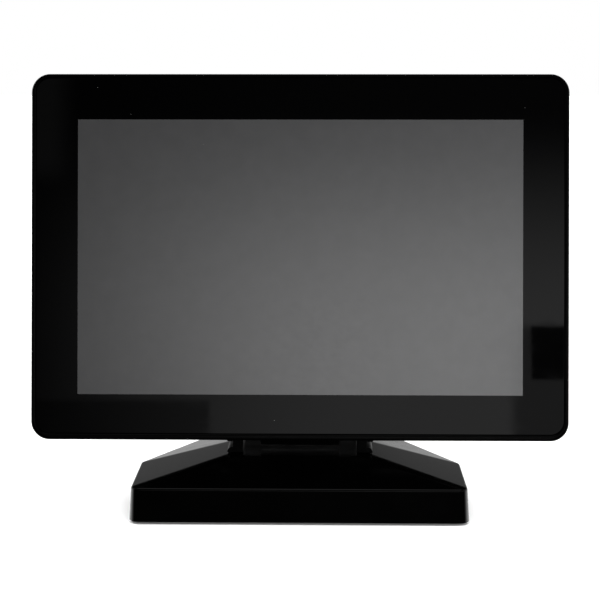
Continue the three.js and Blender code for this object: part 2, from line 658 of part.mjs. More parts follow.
function touchBoard() {
  const posts = postPlaces(TOUCH_BOARD);
  return circuitBoard(TOUCH_BOARD, [posts[0], posts[3]], [
    { x: 66, y: -42, width: 9, height: 9, rise: 1.2 },
    { x: 84, y: -42, width: 5, height: 7, rise: 1.6 },
  ]);
}

const BUTTON_NAMES = ["menu", "down", "up", "power"];
const BUTTONS = BUTTON_NAMES.map((name, i) => ({
  name,
  x: BUTTON_ROW_X + (i - (BUTTON_NAMES.length - 1) / 2) * BUTTON_PITCH,
  y: BUTTON_ROW_Y,
}));
const FLANGE_FRONT = COVER_INSIDE - 1.5;
const STEM_FRONT = FLANGE_FRONT - 1.1;
const SWITCH_RISE = STEM_FRONT - BUTTON_TRAVEL - GAP - BOARD_BACK;

function buttonBoard() {
  const posts = postPlaces(BUTTON_BOARD);
  const switches = BUTTONS.map(({ x, y }) => ({ x, y, width: 4.2, height: 4.2, rise: SWITCH_RISE }));
  return circuitBoard(BUTTON_BOARD, [posts[0], posts[3]], switches);
}

// A button's cap runs through the cover; its flange stays inside and its stem points at the switch.
function button() {
  const cap = plateBetween(
    rectangle(BUTTON_WIDTH, BUTTON_HEIGHT, BUTTON_CORNER),
    FLANGE_FRONT + 0.5,
    HEAD_DEPTH + BUTTON_PROUD,
    1,
  );
  const flangeOutline = rectangle(BUTTON_WIDTH + 2 * BUTTON_FLANGE, BUTTON_HEIGHT + 2 * BUTTON_FLANGE, 1);
  const flange = plateBetween(flangeOutline, FLANGE_FRONT, CONTROL_DEPTH, 1);
  return union([cap, flange, bar(1.3, 0, 0, -FLANGE_FRONT - 0.2, -STEM_FRONT, 8)]);
}

// Sockets stand on the back of the main board and open downwards, just inside the bay.
const SOCKET_MOUTH = BAY_TOP - GAP;
const SOCKET_FRONT = BOARD_BACK + GAP;
const SOCKETS = {
  hdmi: { x: -86, width: 15, deep: 5.6, round: 1 },
  usb: { x: -69, width: 9, deep: 3.3, round: 1.6 },
  power: { x: -53, width: 9, deep: 5.6, round: 0.8 },
};

// A socket's body, turned so that its outline is extruded up the screen.
function socketBar({ x, width, deep, round }, shrink, y0, y1) {
  const middle = -(SOCKET_FRONT + deep / 2);
  const outline = rectangle(width - 2 * shrink, deep - 2 * shrink, Math.max(round - shrink, 0.3));
  const options = { depth: y1 - y0, bevelEnabled: false, curveSegments: 2 };
  const geometry = new THREE.ExtrudeGeometry(outline, options);
  return solid(geometry.rotateX(-Math.PI / 2).translate(x, y0, middle));
}

function socket(kind) {
  const { x, deep, width } = kind;
  const middle = -(SOCKET_FRONT + deep / 2);
  const body = socketBar(kind, 0, SOCKET_MOUTH, SOCKET_MOUTH + SOCKET_LENGTH);
  const mouth = socketBar(kind, 0.45, SOCKET_MOUTH - CUT, SOCKET_MOUTH + SOCKET_LENGTH - 3);
  const tongue = box(
    x - width * 0.34,
    x + width * 0.34,
    SOCKET_MOUTH + 2,
    SOCKET_MOUTH + SOCKET_LENGTH - 1,
    middle - 0.45,
    middle + 0.45,
  );
  return body.subtract(mouth).add(tongue);
}

// A barrel jack: a round well with a centre pin.
function powerSocket() {
  const { x, deep } = SOCKETS.power;
  const middle = -(SOCKET_FRONT + deep / 2);
  const upright = (radius, y0, y1) => {
    const geometry = new THREE.CylinderGeometry(radius, radius, y1 - y0, 16);
    return solid(geometry.translate(x, (y0 + y1) / 2, middle));
  };
  const body = socketBar(SOCKETS.power, 0, SOCKET_MOUTH, SOCKET_MOUTH + SOCKET_LENGTH);
  const well = upright(2.2, SOCKET_MOUTH - CUT, SOCKET_MOUTH + 10);
  return body.subtract(well).add(upright(0.6, SOCKET_MOUTH + 1, SOCKET_MOUTH + 11));
}

// The rear cover is a shallow pan: straight at the seam, then curving in to a flat back.
const panLevel = (inset, depth) => ({ shape: headOutline(SEAM_INSET + inset), z: -depth });
const PAN_CURVE = 13; // how far in from the seam the flat back begins
const PAN_LIP = COVER_FRONT + 1.5; // the sides run straight to this depth
const PAN_STEPS = [0, 0.18, 0.38, 0.6, 0.82, 1];

function pan(inset, front, straightTo, back) {
  const curve = PAN_STEPS.map((share) => {
    const angle = (share * Math.PI) / 2;
    const depth = straightTo + (back - straightTo) * Math.sin(angle);
    return panLevel(inset + (PAN_CURVE - inset * 0.5) * (1 - Math.cos(angle)), depth);
  });
  return skin([panLevel(inset, front), ...curve], 3);
}

function rearCover() {
  const outside = pan(0, COVER_FRONT, PAN_LIP, HEAD_DEPTH);
  const inside = pan(SHELL_WALL, COVER_FRONT - CUT, PAN_LIP, COVER_INSIDE);
  const bayRight = BAY_LEFT + BAY_WIDTH;
  const below = -HEAD_HEIGHT / 2 - CUT;
  const bayBox = box(
    BAY_LEFT - SHELL_WALL,
    bayRight + SHELL_WALL,
    below,
    BAY_TOP + SHELL_WALL,
    -HEAD_DEPTH - CUT,
    -COVER_FRONT,
  );
  const bay = box(BAY_LEFT, bayRight, below, BAY_TOP, -HEAD_DEPTH - CUT, -BAY_FLOOR_DEPTH);
  const socketHoles = Object.values(SOCKETS).map((kind) =>
    socketBar(kind, -GAP, BAY_TOP - CUT, BAY_TOP + SHELL_WALL + CUT),
  );
  const screwHoles = VESA_SCREWS.map(({ x, y }) =>
    bar(VESA_HOLE, x, y, -HEAD_DEPTH - CUT, -COVER_INSIDE + CUT, 10),
  );
  const buttonHoles = BUTTONS.map(({ x, y }) =>
    plateBetween(
      rectangle(BUTTON_WIDTH + 2 * GAP, BUTTON_HEIGHT + 2 * GAP, BUTTON_CORNER + GAP, x, y),
      COVER_INSIDE - CUT,
      HEAD_DEPTH + CUT,
      1,
    ),
  );
  const shell = outside.subtract(inside.subtract(bayBox)).subtract(bay);
  return cut(shell, [...socketHoles, ...screwHoles, ...buttonHoles, ...ventSlots()]);
}

const VENT = { pitch: 9, count: 13, width: 2.6, height: 15, y: 62 };

function ventSlots() {
  return Array.from({ length: VENT.count }, (_, i) => {
    const x = (i - (VENT.count - 1) / 2) * VENT.pitch;
    const outline = rectangle(VENT.width, VENT.height, VENT.width / 2 - 0.01, x, VENT.y);
    return plateBetween(outline, COVER_INSIDE - CUT, HEAD_DEPTH + CUT, 1);
  });
}

// A flat cable: out of the back of what it serves, then up the screen to its board.
function flatCable({ x0, x1, y }, front, end) {
  const [thick, run] = [0.3, BOARD_FRONT - GAP];
  const profile = new THREE.Shape();
  profile.moveTo(y - thick / 2, -front);
  profile.lineTo(y - thick / 2, -run);
  profile.lineTo(end, -run);
  profile.lineTo(end, thick - run);
  profile.lineTo(y + thick / 2, thick - run);
  profile.lineTo(y + thick / 2, -front);
  profile.closePath();
  return alongX(profile, x0, x1);
}

// ---------------------------------------------------------------- bracket and arm

function vesaPlate() {
  const outline = rectangle(BRACKET_SIZE, BRACKET_SIZE, BRACKET_CORNER);
  const plate = plateBetween(outline, BRACKET_FRONT, BRACKET_BACK, 3);
  const [front, back] = [-BRACKET_BACK - CUT, -BRACKET_FRONT + CUT];
  const screwHoles = VESA_SCREWS.map(({ x, y }) => bar(VESA_HOLE, x, y, front, back, 10));
  const armHoles = ARM_SCREWS.map(({ x, y }) => bar(ARM_HOLE, x, y, front, back, 10));
  return cut(plate, [...screwHoles, ...armHoles]);
}

// The arm: a pad behind the bracket, a neck, and the barrel that turns between the lugs.
function hingeArm() {
  const { y: axisY, z: axisZ } = HINGE_IN_HEAD;
  const padLow = PAD_Y - PAD_HEIGHT / 2;
  const padTop = PAD_Y + PAD_HEIGHT / 2;
  const profile = new THREE.Shape();
  profile.moveTo(padTop, -PAD_FRONT);
  profile.lineTo(axisY + BARREL_RADIUS + 9, -PAD_FRONT);
  const [meetsNeck, leavesNeck] = [70, 310].map(THREE.MathUtils.degToRad);
  profile.absarc(axisY, axisZ, BARREL_RADIUS, meetsNeck, leavesNeck, false);
  profile.lineTo(padLow - 10, -PAD_BACK - 5);
  profile.lineTo(padLow + 4, -PAD_BACK - 0.5);
  profile.lineTo(padTop, -PAD_BACK);
  profile.closePath();
  const neck = alongX(profile, -BARREL_WIDTH / 2, BARREL_WIDTH / 2);
  const padOutline = rectangle(PAD_WIDTH, PAD_HEIGHT, BRACKET_CORNER, 0, PAD_Y);
  const pad = plateBetween(padOutline, PAD_FRONT, PAD_BACK, 3);
  const holes = ARM_SCREWS.map(({ x, y }) => bar(ARM_HOLE, x, y, -PAD_BACK - CUT, -PAD_FRONT + CUT, 10));
  const shaftBore = barAlongX(
    SHAFT_RADIUS + GAP,
    -BARREL_WIDTH / 2 - CUT,
    BARREL_WIDTH / 2 + CUT,
    axisY,
    axisZ,
  );
  return cut(union([neck, pad]), [...holes, shaftBore]);
}

function addScrewsFromBehind(name, places, size, seatDepth, parent) {
  for (const { label, x, y } of places) {
    piece(`${name}_${label}`, screw(size), FINISHES.blackSteel(), parent).position.set(x, y, -seatDepth);
  }
}

function addHead(screen) {
  const glass = plateBetween(glassOutline(0), GLASS_SINK, GLASS_BACK);
  const cell = plateBetween(lcdOutline(0), CELL_FRONT, CELL_FRONT + CELL_THICK, 2);
  const backlight = plateBetween(lcdOutline(0), BACKLIGHT_FRONT, BACKLIGHT_FRONT + BACKLIGHT_THICK, 2);
  piece("front_frame", frontFrame(), FINISHES.satinRim(), screen);
  piece("cover_glass", glass, FINISHES.coverGlass(), screen);
  piece("light_seal", lightSeal(), FINISHES.foam(), screen);
  piece("lcd_cell", cell, FINISHES.screen(), screen);
  piece("backlight_unit", backlight, FINISHES.sheetSteel(), screen);
  piece("chassis_plate", chassisPlate(), FINISHES.sheetSteel(), screen);
  piece("main_board", mainBoard(), FINISHES.board(), screen);
  piece("heat_sink", heatSink(), FINISHES.heatSink(), screen);
  piece("touch_board", touchBoard(), FINISHES.board(), screen);
  piece("button_board", buttonBoard(), FINISHES.board(), screen);
  piece("hdmi_socket", socket(SOCKETS.hdmi), FINISHES.zinc(), screen);
  piece("usb_socket", socket(SOCKETS.usb), FINISHES.zinc(), screen);
  piece("power_socket", powerSocket(), FINISHES.blackPlastic(), screen);
  piece("lcd_ribbon", flatCable(LCD_RIBBON, CHASSIS_FRONT, MAIN_BOARD.y0 + 8), FINISHES.flex(), screen);
  piece("touch_flex", flatCable(TOUCH_FLEX, GLASS_BACK + GAP, TOUCH_BOARD.y0 + 6), FINISHES.flex(), screen);
  piece("rear_cover", rearCover(), FINISHES.blackPlastic(), screen);
  piece("vesa_plate", vesaPlate(), FINISHES.blackSteel(), screen);
  piece("hinge_arm", hingeArm(), FINISHES.blackPlastic(), screen);
  for (const { name, x, y } of BUTTONS) {
    piece(`${name}_button`, button(), FINISHES.blackPlastic(), screen).position.set(x, y, 0);
  }
  addScrewsFromBehind("chassis_screw", CHASSIS_SCREWS, CHASSIS_SCREW, CHASSIS_BACK + GAP, screen);
  addScrewsFromBehind("vesa_screw", VESA_SCREWS, VESA_SCREW, BRACKET_BACK + GAP, screen);
  addScrewsFromBehind("arm_screw", ARM_SCREWS, ARM_SCREW, PAD_BACK + GAP, screen);
}

// ---------------------------------------------------------------- assembly

const monitor = new THREE.Group();
addFoot(monitor);
addLugs(monitor);

// Everything that tilts hangs from the hinge axis.
const tilting = new THREE.Group();
tilting.position.set(0, HINGE_Y, HINGE_Z);
tilting.rotation.x = Math.PI / 2 - TILT;
monitor.add(tilting);
addFrictionPack(tilting);

const screen = new THREE.Group();
screen.position.set(0, -HINGE_IN_HEAD.y, -HINGE_IN_HEAD.z);
tilting.add(screen);
addHead(screen);

export default monitor;
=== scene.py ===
import json
import math

import bmesh
import bpy
from mathutils import Matrix, Vector


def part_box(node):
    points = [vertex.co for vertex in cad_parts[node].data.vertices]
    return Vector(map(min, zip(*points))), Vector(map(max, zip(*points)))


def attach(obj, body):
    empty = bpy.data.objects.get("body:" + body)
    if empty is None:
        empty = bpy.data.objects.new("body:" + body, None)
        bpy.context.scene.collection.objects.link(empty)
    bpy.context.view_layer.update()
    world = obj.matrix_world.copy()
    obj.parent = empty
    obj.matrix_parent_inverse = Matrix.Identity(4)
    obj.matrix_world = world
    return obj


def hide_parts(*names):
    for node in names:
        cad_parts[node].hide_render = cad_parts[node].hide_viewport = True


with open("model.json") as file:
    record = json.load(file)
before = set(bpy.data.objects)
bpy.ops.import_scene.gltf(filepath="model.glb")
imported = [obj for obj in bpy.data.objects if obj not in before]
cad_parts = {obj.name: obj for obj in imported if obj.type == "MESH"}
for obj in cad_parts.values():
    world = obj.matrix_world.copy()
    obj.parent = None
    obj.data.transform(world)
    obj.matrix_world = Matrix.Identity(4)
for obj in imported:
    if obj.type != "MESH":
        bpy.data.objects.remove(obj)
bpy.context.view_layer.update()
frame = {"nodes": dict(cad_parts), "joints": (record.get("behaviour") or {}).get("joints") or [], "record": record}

# A switched-off desktop touch monitor on a low tilting foot. Shapes are drawn in millimetres and placed by
# two matrices: FOOT for what stands on the table, HEAD for what tilts.

MM = 0.001

# ---------------------------------------------------------------- sizes, in millimetres

GAP = 0.3
CUT = 1.0  # how far a cutter passes through what it cuts
HEAD_WIDTH = 261.0
HEAD_HEIGHT = 177.8
HEAD_CORNER = 9.0
HEAD_DEPTH = 22.0
FRAME_DEPTH = 12.0
RIM_SIDE = 2.3
RIM_TOP = 2.1
RIM_BOTTOM = 3.1
RIM_OUTER_ROUND = 1.05
RIM_INNER_ROUND = 0.8
GLASS_SINK = 0.4
GLASS_THICK = 1.6
GLASS_EDGE = 0.25  # ground edge at the front of the glass
GLASS_BACK_EDGE = 0.15
GLASS_PLAY = GAP - 0.12
MODULE_OPENING = {"width": 230.1, "height": 154.7, "rise": -4.75, "corner": 2.0}
SHELL_WALL = 2.2
SEAM_INSET = 0.6
PAN_CURVE = 13.0
LEDGE_THICK = 2.0
WINDOW_WIDTH = 216.0
WINDOW_HEIGHT = 133.5
WINDOW_RISE = 0.0
WINDOW_SHIFT = 0.16
AXIS_BELOW_CENTRE = 85.2
AXIS_BEHIND_FACE = 33.4
BARREL_RADIUS = 10.0
BARREL_WIDTH = 39.6
LUG_INNER_X = 28.6
LUG_THICK = 5.1
LUG_RADIUS = 9.2
LUG_FOOT = 21.0
LUG_FLARE = 2.9
LUG_TAPER = 0.05
CAP_RADIUS = 8.5
CAP_THICK = 3.3
CAP_HOLLOW = 2.5  # how far the cap is hollowed out from behind
CAP_ROUND = 1.0
POCKET_RADIUS = 7.2
POCKET_DEPTH = 2.6
SHAFT_RADIUS = 3.0
AXIS_ABOVE_DECK = 11.7
FOOT_WALL = 2.4
FOOT_CORNER = 5.5
FOOT_STRAIGHT = 45.3
FOOT_REAR_WIDTH = 86.0
FOOT_LIFT = 1.1
RIM_HEIGHT = 17.9
WALL_DRAFT = 1.0
RIM_EDGE = 1.2
DECK_HEIGHT = 26.9
DECK_WIDTH = 72.0
DECK_DEPTH = 33.2
DECK_FROM_FRONT = 25.8
DECK_CORNER = 6.0
DECK_EDGE = 2.0
DECK_EDGE_DROP = DECK_EDGE / 8
VENTS = {"pitch": 9.0, "count": 13, "width": 2.6, "height": 15.0, "y": 62.0}
VESA_PITCH = 75.0
VESA_HOLE_RADIUS = 2.3
BRACKET = {"size": 96.0, "corner": 6.0, "front": -22.3, "back": -24.3}
PAD = {"width": 64.0, "height": 36.0, "corner": 6.0, "y": -28.0, "front": -24.6, "back": -28.0}
PAD_SCREW_PITCH = (48.0, 24.0)
PAD_HOLE_RADIUS = 2.0
BAY = {"x0": -100.0, "x1": -40.0, "top": -56.0, "floor": 14.5, "corner": 1.2, "lip": 4.0}
BAY_WALL_CORNER = 2.0
BUTTONS = {"menu": 46.0, "down": 58.0, "up": 70.0, "power": 82.0}
BUTTON_Y = -66.0
KEY = {"width": 8.0, "height": 4.5, "corner": 1.6, "proud": 0.9, "edge": 0.45}
KEY_FLANGE = {"reach": 1.2, "corner": 1.0, "front": 18.3, "back": 19.5}
# Each socket's place across the head, its width, depth and corner.
SOCKETS = {"hdmi": (-86.0, 15.0, 5.6, 1.0), "usb": (-69.0, 9.0, 3.3, 1.6), "power": (-53.0, 9.0, 5.6, 0.8)}
SOCKET_FRONT = 14.2
SOCKET_LENGTH = 13.3
# Radius and height of each screw's head, radius and length of its shank.
VESA_SCREW = (3.8, 2.4, 2.0, 12.5)
ARM_SCREW = (3.4, 2.2, 1.7, 6.0)
BASE_SCREW = (3.0, 1.0, 1.2, 9.0)
SCREW_CROWN = 0.62  # share of the head's radius that is flat on top
SCREW_SIDE = 0.35  # share of the head's height that is straight

# ---------------------------------------------------------------- frames of reference

tilt_joint = next(j for j in frame["joints"] if j["name"] == "tilt")
press_joint = next(j for j in frame["joints"] if j["name"].endswith("_press"))
axis_point = Vector(tilt_joint["pos_m"])
to_viewer = Vector(press_joint["axis"])
lean = math.atan2(to_viewer.z, -to_viewer.y)

FOOT = Matrix.Scale(MM, 4)
AXIS = Matrix.Translation(axis_point) @ Matrix.Scale(MM, 4)
HEAD_AXIS = Matrix.Translation(axis_point) @ Matrix.Rotation(math.pi / 2 - lean, 4, "X") @ Matrix.Scale(MM, 4)
HEAD = HEAD_AXIS @ Matrix.Translation((0, AXIS_BELOW_CENTRE, AXIS_BEHIND_FACE))

foot_low, foot_high = (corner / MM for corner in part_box("base_cover"))
FOOT_WIDTH = foot_high.x - foot_low.x
FOOT_FRONT = foot_low.y
FOOT_REAR = foot_high.y
DECK_Y = FOOT_FRONT + DECK_FROM_FRONT + DECK_DEPTH / 2

# ---------------------------------------------------------------- outlines


def inset_corners(corners, distance):
    moved = []
    for i, corner in enumerate(corners):
        arriving = (corner - corners[i - 1]).normalized()
        leaving = (corners[(i + 1) % len(corners)] - corner).normalized()
        half_turn = arriving.angle(leaving) / 2
        inward = Vector((-arriving.y - leaving.y, arriving.x + leaving.x)).normalized()
        moved.append(corner + inward * (distance / math.cos(half_turn)))
    return moved


def rounded(corners, radius, steps=12):
    """Points of a closed counter-clockwise outline whose corners are arcs of that many steps."""
    points = []
    for i, corner in enumerate(corners):
        arriving = (corner - corners[i - 1]).normalized()
        leaving = (corners[(i + 1) % len(corners)] - corner).normalized()
        turn = arriving.angle(leaving)
        start = corner - arriving * (radius * math.tan(turn / 2))
        centre = start + Vector((-arriving.y, arriving.x)) * radius
        first = math.atan2(start.y - centre.y, start.x - centre.x)
        for step in range(steps + 1):
            angle = first + turn * step / steps
            points.append(centre + Vector((math.cos(angle), math.sin(angle))) * radius)
    return points


def rectangle(width, height, radius, x=0.0, y=0.0, steps=12):
    w, h = width / 2, height / 2
    corners = [Vector((x + a, y + b)) for a, b in ((-w, -h), (w, -h), (w, h), (-w, h))]
    return rounded(corners, radius, steps)


def circle(radius, sides, x=0.0, y=0.0):
    turns = [2 * math.pi * i / sides for i in range(sides)]
    return [Vector((x + radius * math.cos(t), y + radius * math.sin(t))) for t in turns]


def level(outline, z):
    return [Vector((p.x, p.y, z)) for p in outline]


CORNER_SIGNS = [(sx, sy) for sx in (-1, 1) for sy in (-1, 1)]


def quarter_turn(steps):
    """The angles of a quarter turn, from none to the whole of it."""
    return [math.pi / 2 * i / steps for i in range(steps + 1)]


# ---------------------------------------------------------------- meshes


def mesh_piece(name, bm, matrix):
    """An object from a bmesh drawn in millimetres, with its faces turned outwards."""
    bm.transform(matrix)
    bmesh.ops.recalc_face_normals(bm, faces=bm.faces)
    mesh = bpy.data.meshes.new(name)
    bm.to_mesh(mesh)
    bm.free()
    obj = bpy.data.objects.new(name, mesh)
    bpy.context.scene.collection.objects.link(obj)
    return obj


def add_loft(bm, rings, cap=True, loop=False):
    """Quads between rings of equal length. A loop joins the last ring to the first."""
    rows = [[bm.verts.new(p) for p in ring] for ring in rings]
    pairs = list(zip(rows, rows[1:] + rows[:1])) if loop else list(zip(rows, rows[1:]))
    for low, high in pairs:
        for i in range(len(low)):
            j = (i + 1) % len(low)
            bm.faces.new((low[i], low[j], high[j], high[i]))
    if cap and not loop:
        bm.faces.new(rows[0][::-1])
        bm.faces.new(rows[-1])
    return rows


def loft(name, rings, matrix, loop=False):
    bm = bmesh.new()
    add_loft(bm, rings, loop=loop)
    return mesh_piece(name, bm, matrix)


def skin(name, points, matrix):
    """The smooth skin over a cloud of points, its flat areas merged."""
    bm = bmesh.new()
    for p in points:
        bm.verts.new(p)
    hull = bmesh.ops.convex_hull(bm, input=bm.verts)
    spare = [g for g in hull["geom_interior"] + hull["geom_unused"] if isinstance(g, bmesh.types.BMVert)]
    bmesh.ops.delete(bm, geom=list(set(spare)), context="VERTS")
    bmesh.ops.dissolve_limit(bm, angle_limit=math.radians(0.3), verts=bm.verts, edges=bm.edges)
    return mesh_piece(name, bm, matrix)


def turned(name, profile, matrix, sides=48):
    """A solid of revolution about Z, from (radius, z) points that start and end on the axis."""
    bm = bmesh.new()
    rings = [level(circle(max(r, 0.001), sides), z) for r, z in profile]
    add_loft(bm, rings)
    bmesh.ops.remove_doubles(bm, verts=bm.verts, dist=0.0008)
    return mesh_piece(name, bm, matrix)


def prism(name, outline, low, high, matrix):
    return loft(name, [level(outline, low), level(outline, high)], matrix)


# Turns a (y, z) profile so that it is extruded along X.
ALONG_X = Matrix(((0, 0, 1, 0), (1, 0, 0, 0), (0, 1, 0, 0), (0, 0, 0, 1)))


def up_screen(name, outline, low, high, matrix):
    """A prism whose outline is drawn as (x, depth), between two heights up the screen."""
    return loft(name, [[Vector((p.x, y, p.y)) for p in outline] for y in (low, high)], matrix)


def bake_modifiers(obj):
    graph = bpy.context.evaluated_depsgraph_get()
    final = bpy.data.meshes.new_from_object(obj.evaluated_get(graph))
    obj.modifiers.clear()
    obj.data = final
    return obj


def combine(obj, others, operation):
    """A boolean of obj with each of the others, which are used up."""
    for other in others:
        step = obj.modifiers.new(operation, "BOOLEAN")
        step.operation = operation
        step.solver = "EXACT"
        step.object = other
        bpy.context.view_layer.update()
        bake_modifiers(obj)
        bpy.data.objects.remove(other)
    return obj


def join_cutters(name, objects):
    """Several cutters that don't touch, as one mesh."""
    bm = bmesh.new()
    for o in objects:
        bm.from_mesh(o.data)
        bpy.data.objects.remove(o)
    mesh = bpy.data.meshes.new(name)
    bm.to_mesh(mesh)
    bm.free()
    obj = bpy.data.objects.new(name, mesh)
    bpy.context.scene.collection.objects.link(obj)
    return obj


def soften(obj, width, segments=3, angle=32.0):
    """Rounds the edges by a bevel, in millimetres, and shades the flats as flats."""
    if width:
        bevel = obj.modifiers.new("soft edges", "BEVEL")
        bevel.width = width * MM
        bevel.segments = segments
        bevel.limit_method = "ANGLE"
        bevel.angle_limit = math.radians(angle)
        bevel.harden_normals = False
        bevel.use_clamp_overlap = True
        bake_modifiers(obj)
    smooth(obj)
    return obj


def smooth(obj, angle=40.0):
    for polygon in obj.data.polygons:
        polygon.use_smooth = True
    obj.data.set_sharp_from_angle(angle=math.radians(angle))
    weighted = obj.modifiers.new("weighted normals", "WEIGHTED_NORMAL")
    weighted.keep_sharp = True
    weighted.weight = 60
    return obj


# ---------------------------------------------------------------- materials


class Nodes:
    """A material's node tree, with short calls for what these finishes share."""

    def __init__(self, name):
        self.material = bpy.data.materials.new(name)
        self.material.use_nodes = True
        self.tree = self.material.node_tree
        self.shader = self.tree.nodes["Principled BSDF"]
        self.place = self.tree.nodes.new("ShaderNodeTexCoord").outputs["Object"]
        self.height = None

    def set(self, **values):
        for key, value in values.items():
            self.shader.inputs[key.replace("_", " ")].default_value = value

    def link(self, a, b):
        self.tree.links.new(a, b)

    def stretched(self, scale):
        node = self.tree.nodes.new("ShaderNodeMapping")
        node.inputs["Scale"].default_value = scale
        self.link(self.place, node.inputs["Vector"])
        return node.outputs["Vector"]

    def noise(self, size, detail=2.0, stretch=None, distortion=0.0):
        """A noise whose lumps are about that many millimetres across."""
        node = self.tree.nodes.new("ShaderNodeTexNoise")
        node.inputs["Scale"].default_value = 1 / (size * MM)
        node.inputs["Detail"].default_value = detail
        node.inputs["Distortion"].default_value = distortion
        self.link(self.stretched(stretch) if stretch else self.place, node.inputs["Vector"])
        return node.outputs["Fac"]

    def cells(self, size, feature="F1"):
        node = self.tree.nodes.new("ShaderNodeTexVoronoi")
        node.feature = feature
        node.inputs["Scale"].default_value = 1 / (size * MM)
        self.link(self.place, node.inputs["Vector"])
        return node.outputs["Distance"]

    def span(self, value, low, high, new_low, new_high):
        node = self.tree.nodes.new("ShaderNodeMapRange")
        for key, number in (("From Min", low), ("From Max", high), ("To Min", new_low), ("To Max", new_high)):
            node.inputs[key].default_value = number
        self.link(value, node.inputs["Value"])
        return node.outputs["Result"]

    def blend(self, factor, first, second):
        node = self.tree.nodes.new("ShaderNodeMix")
        node.data_type = "RGBA"
        node.inputs["A"].default_value = (*first, 1)
        node.inputs["B"].default_value = (*second, 1)
        self.link(factor, node.inputs["Factor"])
        return node.outputs["Result"]

    def bump(self, height, depth):
        """Relief of about that many millimetres, added to what is there."""
        node = self.tree.nodes.new("ShaderNodeBump")
        node.inputs["Strength"].default_value = 1.0
        node.inputs["Distance"].default_value = depth * MM
        self.link(height, node.inputs["Height"])
        if self.height:
            self.link(self.height, node.inputs["Normal"])
        self.height = node.outputs["Normal"]
        self.link(self.height, self.shader.inputs["Normal"])

    def color(self, output):
        self.link(output, self.shader.inputs["Base Color"])

    def dust(self, under):
        """A few pale specks, a quarter of a millimetre across, over that colour."""
        near = self.span(self.cells(9), 0.012, 0.016, 1, 0)
        some = self.span(self.noise(30, 0), 0.6, 0.62, 0, 1)
        both = self.tree.nodes.new("ShaderNodeMath")
        both.operation = "MULTIPLY"
        self.link(near, both.inputs[0])
        self.link(some, both.inputs[1])
        node = self.tree.nodes.new("ShaderNodeMix")
        node.data_type = "RGBA"
        self.link(both.outputs[0], node.inputs["Factor"])
        self.link(under, node.inputs["A"])
        node.inputs["B"].default_value = (0.6, 0.6, 0.58, 1)
        return node.outputs["Result"]

    def roughness(self, output):
        self.link(output, self.shader.inputs["Roughness"])


def moulded_plastic(name, dark, light, rough, grain, relief, gloss=0.5):
    """Black moulded plastic: a fine spark-eroded grain, flow clouding and a trace of handling."""
    n = Nodes(name)
    n.set(IOR=1.5, Specular_IOR_Level=gloss)
    clouds = n.noise(24, 3)
    fine = n.noise(grain, 2)
    n.color(n.blend(n.span(clouds, 0.35, 0.7, 0, 1), dark, light))
    n.roughness(n.span(n.noise(9, 4), 0.3, 0.7, rough - 0.03, rough + 0.04))
    n.bump(fine, relief)
    n.bump(n.noise(14, 2), 0.012)
    return n.material


def satin_rim():
    n = Nodes("satin rim")
    n.set(IOR=1.5, Specular_IOR_Level=0.2)
    n.color(n.blend(n.noise(18, 2), (0.0006,) * 3, (0.0009,) * 3))
    n.roughness(n.span(n.noise(6, 3), 0.3, 0.7, 0.2, 0.26))
    n.bump(n.noise(0.35, 2), 0.0016)
    return n.material


def printed_border():
    """Cover glass over a black printed border: the print is dead black, the gloss is the glass."""
    n = Nodes("printed border")
    n.set(IOR=1.5)
    n.color(n.dust(n.blend(n.noise(1.6, 1), (0.0006, 0.0006, 0.0007), (0.001, 0.001, 0.0011))))
    smears = n.span(n.noise(18, 4, (1.0, 1.0, 3.0)), 0.45, 0.75, 0.02, 0.05)
    n.roughness(smears)
    n.bump(n.noise(0.5, 2), 0.0002)
    return n.material


def screen_window():
    """The switched-off panel seen through the glass: a grey cell whose layers mirror the room."""
    n = Nodes("screen window")
    n.set(Coat_Weight=1.0, Coat_Roughness=0.02, Coat_IOR=1.5, IOR=2.5)
    mottle = n.noise(7, 3)
    grey = n.blend(n.span(mottle, 0.3, 0.7, 0, 1), (0.098, 0.098, 0.1), (0.106, 0.106, 0.108))
    n.color(n.dust(grey))
    n.roughness(n.span(n.noise(2.5, 2), 0.3, 0.7, 0.14, 0.18))
    n.bump(n.noise(0.22, 1), 0.0008)
    return n.material


def rubber():
    n = Nodes("foot rubber")
    n.color(n.blend(n.noise(3, 3), (0.012, 0.012, 0.012), (0.024, 0.024, 0.023)))
    n.roughness(n.span(n.noise(1.2, 3), 0.3, 0.7, 0.72, 0.88))
    n.bump(n.noise(0.25, 3), 0.02)
    return n.material


def powder_coat():
    n = Nodes("black powder coat")
    n.set(Metallic=0.0, IOR=1.5)
    n.color(n.blend(n.noise(12, 3), (0.008, 0.008, 0.009), (0.014, 0.014, 0.015)))
    n.roughness(n.span(n.noise(2, 3), 0.3, 0.7, 0.36, 0.46))
    n.bump(n.noise(0.7, 2), 0.03)
    return n.material


def metal(name, dark, light, rough, stretch, relief=0.004, size=1.2):
    """Bare metal with the lay of its tool marks: stretch squeezes the noise across them."""
    n = Nodes(name)
    n.set(Metallic=1.0)
    marks = n.noise(size, 4, stretch)
    n.color(n.blend(n.span(n.noise(8, 3), 0.3, 0.7, 0, 1), dark, light))
    n.roughness(n.span(marks, 0.3, 0.7, rough - 0.07, rough + 0.08))
    n.bump(marks, relief)
    return n.material


def cast_iron():
    n = Nodes("cast iron")
    n.set(Metallic=0.7)
    n.color(n.blend(n.span(n.noise(4, 5), 0.35, 0.65, 0, 1), (0.05, 0.05, 0.052), (0.11, 0.105, 0.1)))
    n.roughness(n.span(n.noise(1.5, 4), 0.3, 0.7, 0.6, 0.85))
    n.bump(n.noise(0.9, 4), 0.12)
    return n.material


